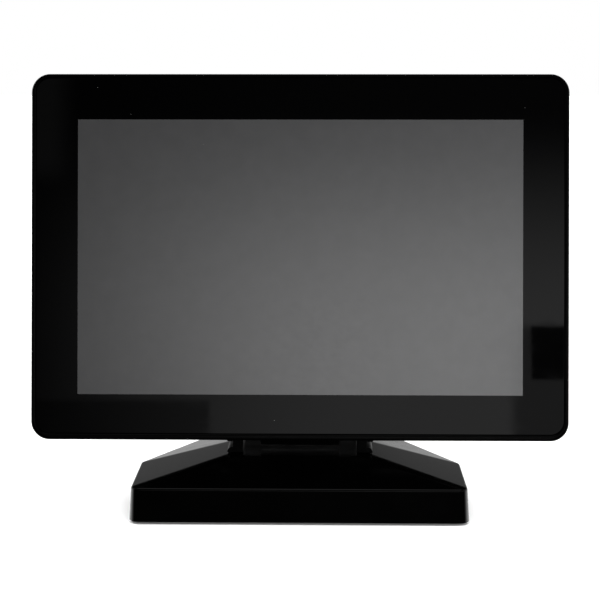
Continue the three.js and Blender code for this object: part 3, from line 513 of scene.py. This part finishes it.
def circuit_board():
    """Solder mask with the print of tracks under it."""
    n = Nodes("circuit board")
    n.set(Coat_Weight=0.4, Coat_Roughness=0.2)
    tracks = n.span(n.cells(3.2, "DISTANCE_TO_EDGE"), 0.03, 0.06, 1, 0)
    n.color(n.blend(tracks, (0.006, 0.05, 0.022), (0.016, 0.11, 0.045)))
    n.roughness(n.span(n.noise(2, 2), 0.3, 0.7, 0.3, 0.45))
    n.bump(tracks, 0.03)
    return n.material


def flat_cable():
    """Amber film with copper lines that run along it."""
    n = Nodes("flat cable")
    lines = n.tree.nodes.new("ShaderNodeTexWave")
    lines.wave_type = "BANDS"
    lines.bands_direction = "X"
    lines.inputs["Scale"].default_value = 320
    n.link(n.place, lines.inputs["Vector"])
    n.color(n.blend(lines.outputs["Fac"], (0.22, 0.08, 0.015), (0.5, 0.25, 0.08)))
    n.roughness(n.span(n.noise(2, 2), 0.3, 0.7, 0.3, 0.4))
    n.bump(lines.outputs["Fac"], 0.02)
    return n.material


def plain_moulding(name, dark, light, rough, size):
    """Hidden mouldings and foams: a cloudy colour and a grain of that size."""
    n = Nodes(name)
    n.color(n.blend(n.noise(10, 3), dark, light))
    n.roughness(n.span(n.noise(3, 3), 0.3, 0.7, rough - 0.06, rough + 0.06))
    n.bump(n.noise(size, 3), size * 0.08)
    return n.material


BRUSHED = (1.0, 14.0, 1.0)
JET_BLACK = ((0.0007,) * 3, (0.0011,) * 3)
MATERIALS = {
    "textured_plastic": moulded_plastic("textured plastic", *JET_BLACK, 0.16, 0.5, 0.004),
    "rear_plastic": moulded_plastic("rear plastic", (0.0075,) * 3, (0.0105, 0.0105, 0.011), 0.42, 0.6, 0.03),
    "rim_plastic": satin_rim(),
    "cover_glass": printed_border(),
    "screen_glass": screen_window(),
    "backlight_frame": plain_moulding("backlight frame", (0.5, 0.5, 0.5), (0.62, 0.62, 0.6), 0.5, 0.8),
    "foam": plain_moulding("foam", (0.012,) * 3, (0.025,) * 3, 0.9, 0.5),
    "foot_rubber": rubber(),
    "black_steel": powder_coat(),
    "cast_iron": cast_iron(),
    "chassis_sheet": metal("chassis sheet", (0.42, 0.43, 0.44), (0.55, 0.56, 0.57), 0.42, BRUSHED),
    "circuit_board": circuit_board(),
    "heat_sink": metal("heat sink", (0.5, 0.51, 0.52), (0.62, 0.63, 0.64), 0.4, (8.0, 1.0, 1.0)),
    "socket_metal": metal("socket metal", (0.5, 0.5, 0.49), (0.64, 0.64, 0.62), 0.28, (1.0, 6.0, 1.0)),
    "socket_plastic": plain_moulding("socket plastic", (0.01,) * 3, (0.016,) * 3, 0.45, 0.4),
    "flat_cable": flat_cable(),
    "hinge_steel": metal(
        "hinge steel", (0.3, 0.3, 0.31), (0.42, 0.42, 0.43), 0.3, (20.0, 1.0, 1.0), 0.01, 3.0
    ),
    "screw_steel": metal("screw steel", (0.03, 0.03, 0.032), (0.055, 0.055, 0.058), 0.38, (1.0, 1.0, 6.0)),
    "button_plastic": moulded_plastic("button plastic", (0.012,) * 3, (0.016, 0.016, 0.017), 0.34, 0.5, 0.01),
}
HINGE_FINISH = moulded_plastic("hinge plastic", *JET_BLACK, 0.45, 0.5, 0.012, gloss=0.22)
SLOT_OF = {s["node"]: s["material_slot"] for s in frame["record"]["subparts"]}


def dress(obj, body, slot, *nodes):
    """Gives a piece its finish, its body and the CAD nodes that it stands for."""
    if not obj.data.materials:
        obj.data.materials.append(MATERIALS[slot])
    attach(obj, body)
    if nodes:
        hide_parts(*nodes)
    return obj


def dress_hinge(obj, body, node):
    """The hinge's mouldings have a coarser, duller grain than the foot."""
    obj.data.materials.append(HINGE_FINISH)
    return dress(obj, body, "textured_plastic", node)


# ---------------------------------------------------------------- camera

LENS = 84.3
SENSOR_WIDTH = 36.0
CAMERA_DISTANCE = 0.7067
CAMERA_HEIGHT = 0.2286
CAMERA_PITCH = 81.5
CAMERA_AZIMUTH = 0.9
FAR_CLIP = 50
FRAMING_SHIFT = (-0.001, -0.0717)

camera = bpy.data.objects.new("camera", bpy.data.cameras.new("camera"))
bpy.context.scene.collection.objects.link(camera)
camera.data.sensor_width = SENSOR_WIDTH
camera.data.lens = LENS
camera.data.shift_x, camera.data.shift_y = FRAMING_SHIFT
camera.data.clip_end = FAR_CLIP
azimuth = math.radians(CAMERA_AZIMUTH)
camera.location = (CAMERA_DISTANCE * math.sin(azimuth), -CAMERA_DISTANCE * math.cos(azimuth), CAMERA_HEIGHT)
camera.rotation_euler = (math.radians(CAMERA_PITCH), 0, azimuth)
bpy.context.scene.camera = camera

# ---------------------------------------------------------------- head


def head_outline(inset):
    return rectangle(HEAD_WIDTH - 2 * inset, HEAD_HEIGHT - 2 * inset, HEAD_CORNER + inset * 0.35, steps=20)


def glass_outline(grow):
    width = HEAD_WIDTH - 2 * RIM_SIDE + 2 * grow
    height = HEAD_HEIGHT - RIM_TOP - RIM_BOTTOM + 2 * grow
    rise = (RIM_BOTTOM - RIM_TOP) / 2
    return rectangle(width, height, HEAD_CORNER - RIM_SIDE + grow, 0, rise, steps=20)


def front_frame():
    """The frame's section, swept round the head: wall, rounded rim, glass recess, ledge and back edge."""
    break_edge = 0.3
    rings = [level(head_outline(break_edge), -FRAME_DEPTH), level(head_outline(0), -FRAME_DEPTH + break_edge)]
    for angle in quarter_turn(6):
        inset = RIM_OUTER_ROUND * (1 - math.cos(angle))
        rings.append(level(head_outline(inset), -RIM_OUTER_ROUND * (1 - math.sin(angle))))
    for angle in quarter_turn(6):
        grow = GLASS_PLAY + RIM_INNER_ROUND * (1 - math.sin(angle))
        rings.append(level(glass_outline(grow), -RIM_INNER_ROUND * (1 - math.cos(angle))))
    ledge_front = -(GLASS_SINK + GLASS_THICK + GAP)
    ledge_back = ledge_front - LEDGE_THICK
    rings.append(level(glass_outline(GLASS_PLAY), ledge_front))
    hole = MODULE_OPENING
    opening = rectangle(hole["width"], hole["height"], hole["corner"], 0, hole["rise"], steps=20)
    rings.append(level(opening, ledge_front))
    rings.append(level(opening, ledge_back))
    rings.append(level(glass_outline(GAP), ledge_back))
    rings.append(level(glass_outline(GAP), -FRAME_DEPTH))
    return smooth(loft("front_bezel", rings, HEAD, loop=True), 50)


def cover_glass():
    """One sheet with ground edges. Its clear window shows the panel, and the rest is printed black."""
    bm = bmesh.new()
    back = -(GLASS_SINK + GLASS_THICK)
    rings = [level(glass_outline(-GLASS_BACK_EDGE), back), level(glass_outline(0), back + GLASS_BACK_EDGE)]
    for angle in quarter_turn(4):
        grow = -GLASS_EDGE * (1 - math.cos(angle))
        rings.append(level(glass_outline(grow), -GLASS_SINK - GLASS_EDGE * (1 - math.sin(angle))))
    rows = add_loft(bm, rings, cap=False)
    bm.faces.new(rows[0][::-1])
    w, h = WINDOW_WIDTH / 2, WINDOW_HEIGHT / 2
    corners = [(-w, -h), (w, -h), (w, h), (-w, h)]
    window = [bm.verts.new((x + WINDOW_SHIFT, y + WINDOW_RISE, -GLASS_SINK)) for x, y in corners]
    clear = bm.faces.new(window)
    clear.material_index = 1
    front = rows[-1]
    quarter = len(front) // 4
    for side in range(4):
        arc = [front[(side * quarter + i) % len(front)] for i in range(quarter)]
        for a, b in zip(arc, arc[1:]):
            bm.faces.new((a, b, window[side]))
        following = front[((side + 1) * quarter) % len(front)]
        bm.faces.new((arc[-1], following, window[(side + 1) % 4], window[side]))
    obj = mesh_piece("touch_glass", bm, HEAD)
    obj.data.materials.append(MATERIALS["cover_glass"])
    obj.data.materials.append(MATERIALS["screen_glass"])
    return smooth(obj, 30)


def pan(inset, front, straight_to, back):
    """The rings of a dished cover, whose sides run straight and then curve in to its back."""
    rings = [level(head_outline(SEAM_INSET + inset), -front)]
    for angle in quarter_turn(14):
        depth = straight_to + (back - straight_to) * math.sin(angle)
        reach = inset + (PAN_CURVE - inset * 0.5) * (1 - math.cos(angle))
        rings.append(level(head_outline(SEAM_INSET + reach), -depth))
    return rings


def socket_outline(kind, grow):
    x, width, deep, round_ = SOCKETS[kind]
    return rectangle(width + 2 * grow, deep + 2 * grow, round_ + grow, x, -(SOCKET_FRONT + deep / 2), steps=6)


def bay_rectangle(grow, top, below, corner):
    """The connector bay's outline on the back, open below."""
    width = BAY["x1"] - BAY["x0"] + 2 * grow
    middle = (BAY["x0"] + BAY["x1"]) / 2
    return rectangle(width, top - below, corner, middle, (top + below) / 2, steps=5)


def rear_cover():
    seam = FRAME_DEPTH + GAP
    straight_to = seam + 1.5
    inside = HEAD_DEPTH - SHELL_WALL
    shell = loft("rear_shell", pan(0, seam, straight_to, HEAD_DEPTH), HEAD)
    hollow = loft("hollow", pan(SHELL_WALL, seam - CUT, straight_to, inside), HEAD)
    below = -HEAD_HEIGHT / 2 - CUT
    bay_wall = bay_rectangle(SHELL_WALL, BAY["top"] + SHELL_WALL, below, BAY_WALL_CORNER)
    combine(hollow, [prism("bay wall", bay_wall, -HEAD_DEPTH - 2 * CUT, -seam, HEAD)], "DIFFERENCE")
    combine(shell, [hollow], "DIFFERENCE")

    def through_back(name, outline):
        return prism(name, outline, -HEAD_DEPTH - CUT, -inside + CUT, HEAD)

    bay_outline = bay_rectangle(0, BAY["top"], below - BAY["lip"], BAY["corner"])
    cutters = [prism("bay", bay_outline, -HEAD_DEPTH - 2 * CUT, -BAY["floor"], HEAD)]
    for i in range(VENTS["count"]):
        x = (i - (VENTS["count"] - 1) / 2) * VENTS["pitch"]
        slot = rectangle(VENTS["width"], VENTS["height"], VENTS["width"] / 2 - 0.01, x, VENTS["y"], steps=5)
        cutters.append(through_back("vent", slot))
    for sx, sy in CORNER_SIGNS:
        hole = circle(VESA_HOLE_RADIUS, 32, sx * VESA_PITCH / 2, sy * VESA_PITCH / 2)
        cutters.append(through_back("screw hole", hole))
    for x in BUTTONS.values():
        width, height, corner = KEY["width"] + 2 * GAP, KEY["height"] + 2 * GAP, KEY["corner"] + GAP
        cutters.append(through_back("button hole", rectangle(width, height, corner, x, BUTTON_Y, steps=6)))
    combine(shell, [join_cutters("cutters", cutters)], "DIFFERENCE")
    doors = []
    for kind in SOCKETS:
        door_top = BAY["top"] + SHELL_WALL + CUT
        doors.append(up_screen("door", socket_outline(kind, GAP), BAY["top"] - CUT, door_top, HEAD))
    combine(shell, [join_cutters("doors", doors)], "DIFFERENCE")
    return soften(shell, 0.35, 2)


def hinge_arm():
    """The barrel on the shaft, a neck that rises from it, and the pad that is screwed to the bracket."""
    axis_y, axis_z = -AXIS_BELOW_CENTRE, -AXIS_BEHIND_FACE
    pad_top, pad_low = PAD["y"] + PAD["height"] / 2, PAD["y"] - PAD["height"] / 2
    outline = [Vector((pad_top, PAD["front"])), Vector((axis_y + BARREL_RADIUS + 9, PAD["front"]))]
    for i in range(41):
        angle = math.radians(70 + 240 * i / 40)
        across, up = BARREL_RADIUS * math.cos(angle), BARREL_RADIUS * math.sin(angle)
        outline.append(Vector((axis_y + across, axis_z + up)))
    outline.append(Vector((pad_low - 10, PAD["back"] - 5)))
    outline.append(Vector((pad_low + 4, PAD["back"] - 0.5)))
    outline.append(Vector((pad_top, PAD["back"])))
    neck = prism("hinge_barrel_arm", outline, -BARREL_WIDTH / 2, BARREL_WIDTH / 2, HEAD @ ALONG_X)
    pad_outline = rectangle(PAD["width"], PAD["height"], PAD["corner"], 0, PAD["y"])
    combine(neck, [prism("pad", pad_outline, PAD["back"], PAD["front"], HEAD)], "UNION")
    holes = []
    for sx, sy in CORNER_SIGNS:
        x, y = sx * PAD_SCREW_PITCH[0] / 2, PAD["y"] + sy * PAD_SCREW_PITCH[1] / 2
        hole = circle(PAD_HOLE_RADIUS, 24, x, y)
        holes.append(prism("hole", hole, PAD["back"] - CUT, PAD["front"] + CUT, HEAD))
    bore = circle(SHAFT_RADIUS + GAP, 32, axis_y, axis_z)
    holes.append(prism("bore", bore, -BARREL_WIDTH / 2 - CUT, BARREL_WIDTH / 2 + CUT, HEAD @ ALONG_X))
    combine(neck, [join_cutters("holes", holes)], "DIFFERENCE")
    return soften(neck, 0.7, 3)


def bracket_plate():
    outline = rectangle(BRACKET["size"], BRACKET["size"], BRACKET["corner"])
    plate = prism("bracket", outline, BRACKET["back"], BRACKET["front"], HEAD)
    holes = []
    for sx, sy in CORNER_SIGNS:
        hole = circle(VESA_HOLE_RADIUS, 24, sx * VESA_PITCH / 2, sy * VESA_PITCH / 2)
        holes.append(prism("hole", hole, BRACKET["back"] - CUT, BRACKET["front"] + CUT, HEAD))
    combine(plate, [join_cutters("holes", holes)], "DIFFERENCE")
    return soften(plate, 0.4, 3)


# ---------------------------------------------------------------- foot


def foot_outline(inset, steps=12):
    w, f, r = FOOT_WIDTH / 2, FOOT_FRONT, FOOT_REAR
    kink, rear = f + FOOT_STRAIGHT, FOOT_REAR_WIDTH / 2
    corners = [(-w, f), (w, f), (w, kink), (rear, r), (-rear, r), (-w, kink)]
    moved = inset_corners([Vector(c) for c in corners], inset)
    return rounded(moved, max(FOOT_CORNER - inset, 1.5), steps)


def deck_outline(inset):
    return rectangle(DECK_WIDTH - 2 * inset, DECK_DEPTH - 2 * inset, DECK_CORNER - inset, 0, DECK_Y)


def foot_cover():
    low_edge = 0.25
    cloud = level(foot_outline(low_edge), FOOT_LIFT) + level(foot_outline(0), FOOT_LIFT + low_edge)
    for angle in quarter_turn(6):
        inset = WALL_DRAFT + RIM_EDGE * (1 - math.cos(angle)) * 0.9
        cloud += level(foot_outline(inset), RIM_HEIGHT - RIM_EDGE * (1 - math.sin(angle)))
    for share in (0.0, 0.3, 0.65, 1.0):
        drop = DECK_EDGE_DROP * (1 - share) ** 2
        cloud += level(deck_outline(DECK_EDGE * share), DECK_HEIGHT - drop)
    shell = skin("foot_shell", cloud, FOOT)
    inner = level(foot_outline(FOOT_WALL, 6), FOOT_LIFT - CUT)
    inner += level(foot_outline(WALL_DRAFT + FOOT_WALL, 6), RIM_HEIGHT - FOOT_WALL)
    inner += level(deck_outline(DECK_EDGE), DECK_HEIGHT - FOOT_WALL)
    combine(shell, [skin("foot hollow", inner, FOOT)], "DIFFERENCE")
    return smooth(shell, 60)


def hinge_lug(side):
    """The right-hand lug, or its mirror image for side = -1."""
    foot = GAP - AXIS_ABOVE_DECK
    outline = [Vector((-LUG_FOOT / 2, foot)), Vector((LUG_FOOT / 2, foot))]
    for i in range(33):
        angle = math.pi * i / 32
        outline.append(Vector((LUG_RADIUS * math.cos(angle), LUG_RADIUS * math.sin(angle))))
    mirror = Matrix.Diagonal((side, 1, 1, 1))
    place = AXIS @ mirror @ ALONG_X
    inner, outer = LUG_INNER_X, LUG_INNER_X + LUG_THICK
    lug = prism(f"lug_{'left' if side < 0 else 'right'}", outline, inner, outer, place)
    flare = []
    top = -CAP_RADIUS - GAP
    for i in range(9):
        share = i / 8
        reach = outer + LUG_FLARE * math.sqrt(1 - share * share)
        z = foot + (top - foot) * share
        for y in (-LUG_FOOT / 2, LUG_FOOT / 2):
            flare += [Vector((x, y * (1 - LUG_TAPER * share), z)) for x in (inner, reach)]
    combine(lug, [skin("flare", flare, AXIS @ mirror)], "UNION")
    bore = prism("bore", circle(SHAFT_RADIUS + GAP, 32), inner - CUT, outer + CUT, place)
    pocket = prism("pocket", circle(POCKET_RADIUS, 48), outer - POCKET_DEPTH, outer + CUT, place)
    combine(lug, [bore, pocket], "DIFFERENCE")
    return soften(lug, 0.5, 3)


def hinge_cap(side):
    inner = LUG_INNER_X + LUG_THICK + GAP
    outer = inner + CAP_THICK
    hollow = inner + CAP_HOLLOW
    profile = [(0, hollow), (POCKET_RADIUS, hollow), (POCKET_RADIUS, inner), (CAP_RADIUS, inner)]
    for angle in quarter_turn(8):
        across, up = CAP_ROUND * math.cos(angle), CAP_ROUND * math.sin(angle)
        profile.append((CAP_RADIUS - CAP_ROUND + across, outer - CAP_ROUND + up))
    profile += [(CAP_RADIUS - 2.2, outer - 0.05), (CAP_RADIUS - 2.6, outer - 0.3), (0, outer - 0.25)]
    mirror = Matrix.Diagonal((side, 1, 1, 1))
    name = f"hinge_cover_{'left' if side < 0 else 'right'}"
    return smooth(turned(name, profile, AXIS @ mirror @ ALONG_X, 64), 35)


def foot_pad(name, label):
    low, high = (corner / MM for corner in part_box(f"foot_{label}"))
    radius, height = (high.x - low.x) / 2, high.z - low.z
    centre = (low + high) / 2
    profile = [(0, 0.12), (radius - 1.4, 0.12), (radius - 1.2, 0), (radius - 0.6, 0)]
    profile += [(radius - 0.1, 0.25), (radius, 0.6), (radius, height - 0.1)]
    profile += [(radius - 0.1, height), (0, height)]
    return smooth(turned(name, profile, FOOT @ Matrix.Translation((centre.x, centre.y, low.z)), 48), 40)


# ---------------------------------------------------------------- screws, buttons, sockets


def screw(name, node, matrix, head, height, shank, length):
    """A pan-head screw with a hexagon socket, which seats at z = 0 with its shank towards +Z."""
    profile = [(0, -height), (head * SCREW_CROWN, -height)]
    for angle in quarter_turn(6):
        radius = head * (SCREW_CROWN + (1 - SCREW_CROWN) * math.sin(angle))
        profile.append((radius, -height * (SCREW_SIDE + (1 - SCREW_SIDE) * math.cos(angle))))
    profile += [(head, -0.1), (head - 0.1, 0), (shank, 0)]
    profile += [(shank, length - 0.5), (shank - 0.4, length), (0, length)]
    obj = turned(name, profile, matrix, 40)
    drive = prism("drive", circle(head * 0.42, 6), -height - 0.5, -height * 0.45, matrix)
    combine(obj, [drive], "DIFFERENCE")
    smooth(obj, 35)
    return dress(obj, frame_body(node), "screw_steel", node)


def frame_body(node):
    return next(body for body, members in frame["record"]["behaviour"]["bodies"].items() if node in members)


def four_corners(pitch_x, pitch_y, x=0.0, y=0.0):
    return {
        "lower_left": (x - pitch_x / 2, y - pitch_y / 2),
        "lower_right": (x + pitch_x / 2, y - pitch_y / 2),
        "upper_left": (x - pitch_x / 2, y + pitch_y / 2),
        "upper_right": (x + pitch_x / 2, y + pitch_y / 2),
    }


def add_screws():
    for label, (x, y) in four_corners(VESA_PITCH, VESA_PITCH).items():
        at = HEAD @ Matrix.Translation((x, y, BRACKET["back"] - GAP))
        screw(f"bracket_screw_{label}", f"vesa_screw_{label}", at, *VESA_SCREW)
    for label, (x, y) in four_corners(*PAD_SCREW_PITCH, 0, PAD["y"]).items():
        at = HEAD @ Matrix.Translation((x, y, PAD["back"] - GAP))
        screw(f"pad_screw_{label}", f"arm_screw_{label}", at, *ARM_SCREW)
    for label in ("front_left", "front_right", "rear_left", "rear_right"):
        low, high = (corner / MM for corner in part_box(f"base_screw_{label}"))
        centre = (low + high) / 2
        at = FOOT @ Matrix.Translation((centre.x, centre.y, low.z + BASE_SCREW[1]))
        screw(f"plate_screw_{label}", f"base_screw_{label}", at, *BASE_SCREW)


def button(name):
    """A rounded key, slightly dished, with its flange inside the cover."""
    edge, face = KEY["edge"], HEAD_DEPTH + KEY["proud"]

    def outline(inset, corner):
        width, height = KEY["width"] - 2 * inset, KEY["height"] - 2 * inset
        return rectangle(width, height, corner, BUTTONS[name], BUTTON_Y, 8)

    flange = outline(-KEY_FLANGE["reach"], KEY_FLANGE["corner"])
    rings = [level(flange, -KEY_FLANGE["front"]), level(flange, -KEY_FLANGE["back"])]
    rings.append(level(outline(0, KEY["corner"]), -KEY_FLANGE["back"]))
    for angle in quarter_turn(5):
        inset = edge * (1 - math.cos(angle))
        rings.append(level(outline(inset, KEY["corner"] - inset), -(face - edge * (1 - math.sin(angle)))))
    for inset, sink in ((1.0, 0.05), (1.5, 0.12), (1.9, 0.16)):
        rings.append(level(outline(inset, 0.3), -(face - sink)))
    obj = smooth(loft(f"{name}_key_cap", rings, HEAD), 40)
    return dress(obj, f"{name}_key", "button_plastic", f"{name}_button")


def socket(kind, name, node, slot):
    """A round well with a pin for power, or a metal shell with a tongue in it for the others."""
    mouth, end = BAY["top"] - GAP, BAY["top"] - GAP + SOCKET_LENGTH
    x, width, deep = SOCKETS[kind][:3]
    middle = -(SOCKET_FRONT + deep / 2)
    if kind == "power":
        opening, opening_end = circle(2.2, 32, x, middle), mouth + 10
        core, core_start, core_end = circle(0.6, 20, x, middle), mouth + 1, mouth + 10.5
    else:
        opening, opening_end = socket_outline(kind, -0.45), end - 3
        core, core_start, core_end = rectangle(width * 0.68, 0.9, 0.2, x, middle, 3), mouth + 2, end - 2.5
    body = up_screen(name, socket_outline(kind, 0), mouth, end, HEAD)
    combine(body, [up_screen("opening", opening, mouth - CUT, opening_end, HEAD)], "DIFFERENCE")
    combine(body, [up_screen("core", core, core_start, core_end, HEAD)], "UNION")
    soften(body, 0.12, 2)
    return dress(body, "head", slot, node)


def shaft():
    low, high = (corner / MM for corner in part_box("hinge_shaft"))
    half = (high.x - low.x) / 2
    profile = [(0, -half), (SHAFT_RADIUS - 0.4, -half), (SHAFT_RADIUS, -half + 0.4)]
    for groove in (-24.0, 24.0):
        for step, sink in ((-0.9, 0), (-0.6, 0.35), (0.6, 0.35), (0.9, 0)):
            profile.append((SHAFT_RADIUS - sink, groove + step))
    profile += [(SHAFT_RADIUS, half - 0.4), (SHAFT_RADIUS - 0.4, half), (0, half)]
    obj = turned("axle", profile, AXIS @ ALONG_X, 48)
    return dress(smooth(obj, 30), "head", "hinge_steel", "hinge_shaft")


# ---------------------------------------------------------------- assembly of the object

dress(front_frame(), "head", "rim_plastic", "front_frame")
dress(cover_glass(), "head", "cover_glass", "cover_glass")
dress(rear_cover(), "head", "rear_plastic", "rear_cover")
dress_hinge(hinge_arm(), "head", "hinge_arm")
dress(bracket_plate(), "head", "black_steel", "vesa_plate")
dress(foot_cover(), "base", "textured_plastic", "base_cover")
for side, word in ((-1, "left"), (1, "right")):
    dress_hinge(hinge_lug(side), "base", f"hinge_lug_{word}")
    dress_hinge(hinge_cap(side), "base", f"hinge_cap_{word}")
for corner_label in ("front_left", "front_right", "rear_left", "rear_right"):
    dress(foot_pad(f"pad_{corner_label}", corner_label), "base", "foot_rubber", f"foot_{corner_label}")
add_screws()
shaft()
for button_name in BUTTONS:
    button(button_name)
socket("hdmi", "video_socket", "hdmi_socket", "socket_metal")
socket("usb", "touch_socket", "usb_socket", "socket_metal")
socket("power", "power_jack", "power_socket", "socket_plastic")

for node_name, node in frame["nodes"].items():
    if not node.hide_render:
        finish_material = MATERIALS[SLOT_OF[node_name]]
        if not node.material_slots:
            node.data.materials.append(finish_material)
        for material_slot in node.material_slots:
            material_slot.material = finish_material

# ---------------------------------------------------------------- floor, light and background


def floor_material():
    n = Nodes("pale floor")
    n.set(IOR=1.4, Specular_IOR_Level=0.2)
    n.color(n.blend(n.noise(400, 2), (0.86, 0.86, 0.86), (0.89, 0.89, 0.89)))
    n.roughness(n.span(n.noise(30, 3), 0.3, 0.7, 0.6, 0.7))
    return n.material


FLOOR_SIZE = 12.0
floor_mesh = bmesh.new()
bmesh.ops.create_grid(floor_mesh, x_segments=2, y_segments=2, size=FLOOR_SIZE / 2)
floor = mesh_piece("floor", floor_mesh, Matrix.Identity(4))
floor.data.materials.append(floor_material())
floor.visible_glossy = False
floor.visible_diffuse = False


def diffuse_only(light):
    """Lights the scene without a mirror image in the glass or the plastic."""
    light.visible_glossy = False
    light.visible_camera = False
    return light


def soft_light(name, place, target, size, power):
    data = bpy.data.lights.new(name, "AREA")
    data.shape = "RECTANGLE"
    data.size, data.size_y = size
    data.energy = power
    light = bpy.data.objects.new(name, data)
    bpy.context.scene.collection.objects.link(light)
    light.location = place
    light.rotation_euler = (Vector(target) - Vector(place)).to_track_quat("-Z", "Y").to_euler()
    return light


def overhead_sky(strength, spread):
    """A very soft overhead light that whitens the floor evenly, however far away."""
    data = bpy.data.lights.new("overhead sky", "SUN")
    data.energy = strength
    data.angle = math.radians(spread)
    light = bpy.data.objects.new("overhead sky", data)
    bpy.context.scene.collection.objects.link(light)
    return light


SKY_ENERGY = 6.5
SKY_SPREAD = 110
FILL_PLACE = (0.25, -0.52, 0.02)
FILL_TARGET = (0.03, 0, 0.1)
FILL_SIZE = (0.3, 0.3)
FILL_POWER = 4.4

sky_light = diffuse_only(overhead_sky(SKY_ENERGY, SKY_SPREAD))
lit_by_sky = bpy.data.collections.new("lit by the overhead sky")
lit_by_sky.objects.link(floor)
sky_light.light_linking.receiver_collection = lit_by_sky
diffuse_only(soft_light("front fill", FILL_PLACE, FILL_TARGET, FILL_SIZE, FILL_POWER))


class Sky:
    """Brightness by direction: 'aside' is how far right of straight ahead, 'rise' how far above level."""

    def __init__(self, world):
        self.tree = world.node_tree
        place = self.tree.nodes.new("ShaderNodeTexCoord").outputs["Generated"]
        split = self.tree.nodes.new("ShaderNodeSeparateXYZ")
        self.tree.links.new(place, split.inputs["Vector"])
        self.x, self.y, self.z = split.outputs
        forward = self.math("MAXIMUM", self.math("MULTIPLY", self.y, -1.0), 0.001)
        self.aside = self.math("DIVIDE", self.x, forward)
        self.rise = self.math("DIVIDE", self.z, forward)

    def math(self, operation, a, b):
        node = self.tree.nodes.new("ShaderNodeMath")
        node.operation = operation
        for socket_in, value in zip(node.inputs, (a, b)):
            if isinstance(value, (int, float)):
                socket_in.default_value = value
            else:
                self.tree.links.new(value, socket_in)
        return node.outputs[0]

    def fade(self, value, start, end, low=0.0, high=1.0):
        """From low before start to high after end, softly."""
        node = self.tree.nodes.new("ShaderNodeMapRange")
        node.interpolation_type = "SMOOTHSTEP"
        for key, number in (("From Min", start), ("From Max", end), ("To Min", low), ("To Max", high)):
            node.inputs[key].default_value = number
        self.tree.links.new(value, node.inputs["Value"])
        return node.outputs["Result"]

    def product(self, *values):
        result = values[0]
        for value in values[1:]:
            result = self.math("MULTIPLY", result, value)
        return result

    def panel(self, left, right, low, high, edge):
        """One inside a rectangle of directions, nought outside it."""
        return self.product(
            self.fade(self.aside, left - edge, left + edge),
            self.fade(self.aside, right - edge, right + edge, 1, 0),
            self.fade(self.rise, low - edge, low + edge),
            self.fade(self.rise, high - edge, high + edge, 1, 0),
        )


# Darker shapes in the room ahead: how much they take away, then left, right, low, high and edge.
DARK_SHAPES = (
    (0.55, (-1.0, -0.08, -0.5, 0.046, 0.002)),
    (0.55, (0.135, 1.0, -0.5, 0.1, 0.004)),
    (0.95, (0.149, 1.0, 0.062, 0.1, 0.001)),
)
# The same for a faint wall at the upper left, which adds light.
PALE_WALL = (0.055, (-1.0, -0.19, 0.21, 0.5, 0.012))


def studio_world():
    """White to the eye. In reflections: a pale table and sweep behind, a dim room in front."""
    world = bpy.data.worlds.new("studio")
    world.use_nodes = True
    sky = Sky(world)
    sideways = sky.math("ABSOLUTE", sky.x, 0.0)
    low_band = sky.product(sky.fade(sideways, 0.06, 0.16), sky.fade(sky.z, 0.2, 0.34, 0.2, 0.0))
    table = sky.fade(sky.z, -0.16, -0.04, 0.5, 0.0)
    beyond = sky.math("ADD", table, sky.math("ADD", low_band, sky.fade(sky.z, 0.0, 0.24, 0.4, 0.0)))
    behind = sky.product(sky.fade(sky.y, -0.1, 0.3), beyond)
    beside = sky.product(
        sky.fade(sideways, 0.45, 0.8),
        sky.fade(sky.y, -0.35, 0.0),
        sky.fade(sky.z, 0.6, 0.9, 0.4, 0.0),
    )
    above = sky.math("ADD", beside, sky.fade(sky.z, 0.88, 0.97, 0.001, 0.4))
    ahead = sky.fade(sky.y, -0.2, 0.0, 1, 0)
    from_left = sky.fade(sky.aside, -0.26, 0.04, 0.0, 0.47)
    glow = sky.product(
        sky.math("ADD", from_left, sky.fade(sky.aside, -0.02, 0.2, 0.0, 0.04)),
        sky.fade(sky.rise, 0.1, 0.262, 1.0, 0.03),
        sky.fade(sky.rise, -0.04, 0.016, 0.0, 1.0),
    )
    for depth, panel in DARK_SHAPES:
        glow = sky.product(glow, sky.math("SUBTRACT", 1.0, sky.product(depth, sky.panel(*panel))))
    wall = sky.product(PALE_WALL[0], sky.panel(*PALE_WALL[1]))
    room = sky.product(ahead, sky.math("ADD", wall, glow))
    rays = sky.tree.nodes.new("ShaderNodeLightPath")
    pick = sky.tree.nodes.new("ShaderNodeMix")
    pick.inputs["B"].default_value = 1.0
    sky.tree.links.new(rays.outputs["Is Camera Ray"], pick.inputs["Factor"])
    sky.tree.links.new(sky.math("ADD", above, sky.math("ADD", behind, room)), pick.inputs["A"])
    background = sky.tree.nodes["Background"]
    sky.tree.links.new(pick.outputs["Result"], background.inputs["Strength"])
    background.inputs["Color"].default_value = (1, 1, 1, 1)
    bpy.context.scene.world = world


studio_world()
bpy.context.scene.view_settings.view_transform = "Standard"
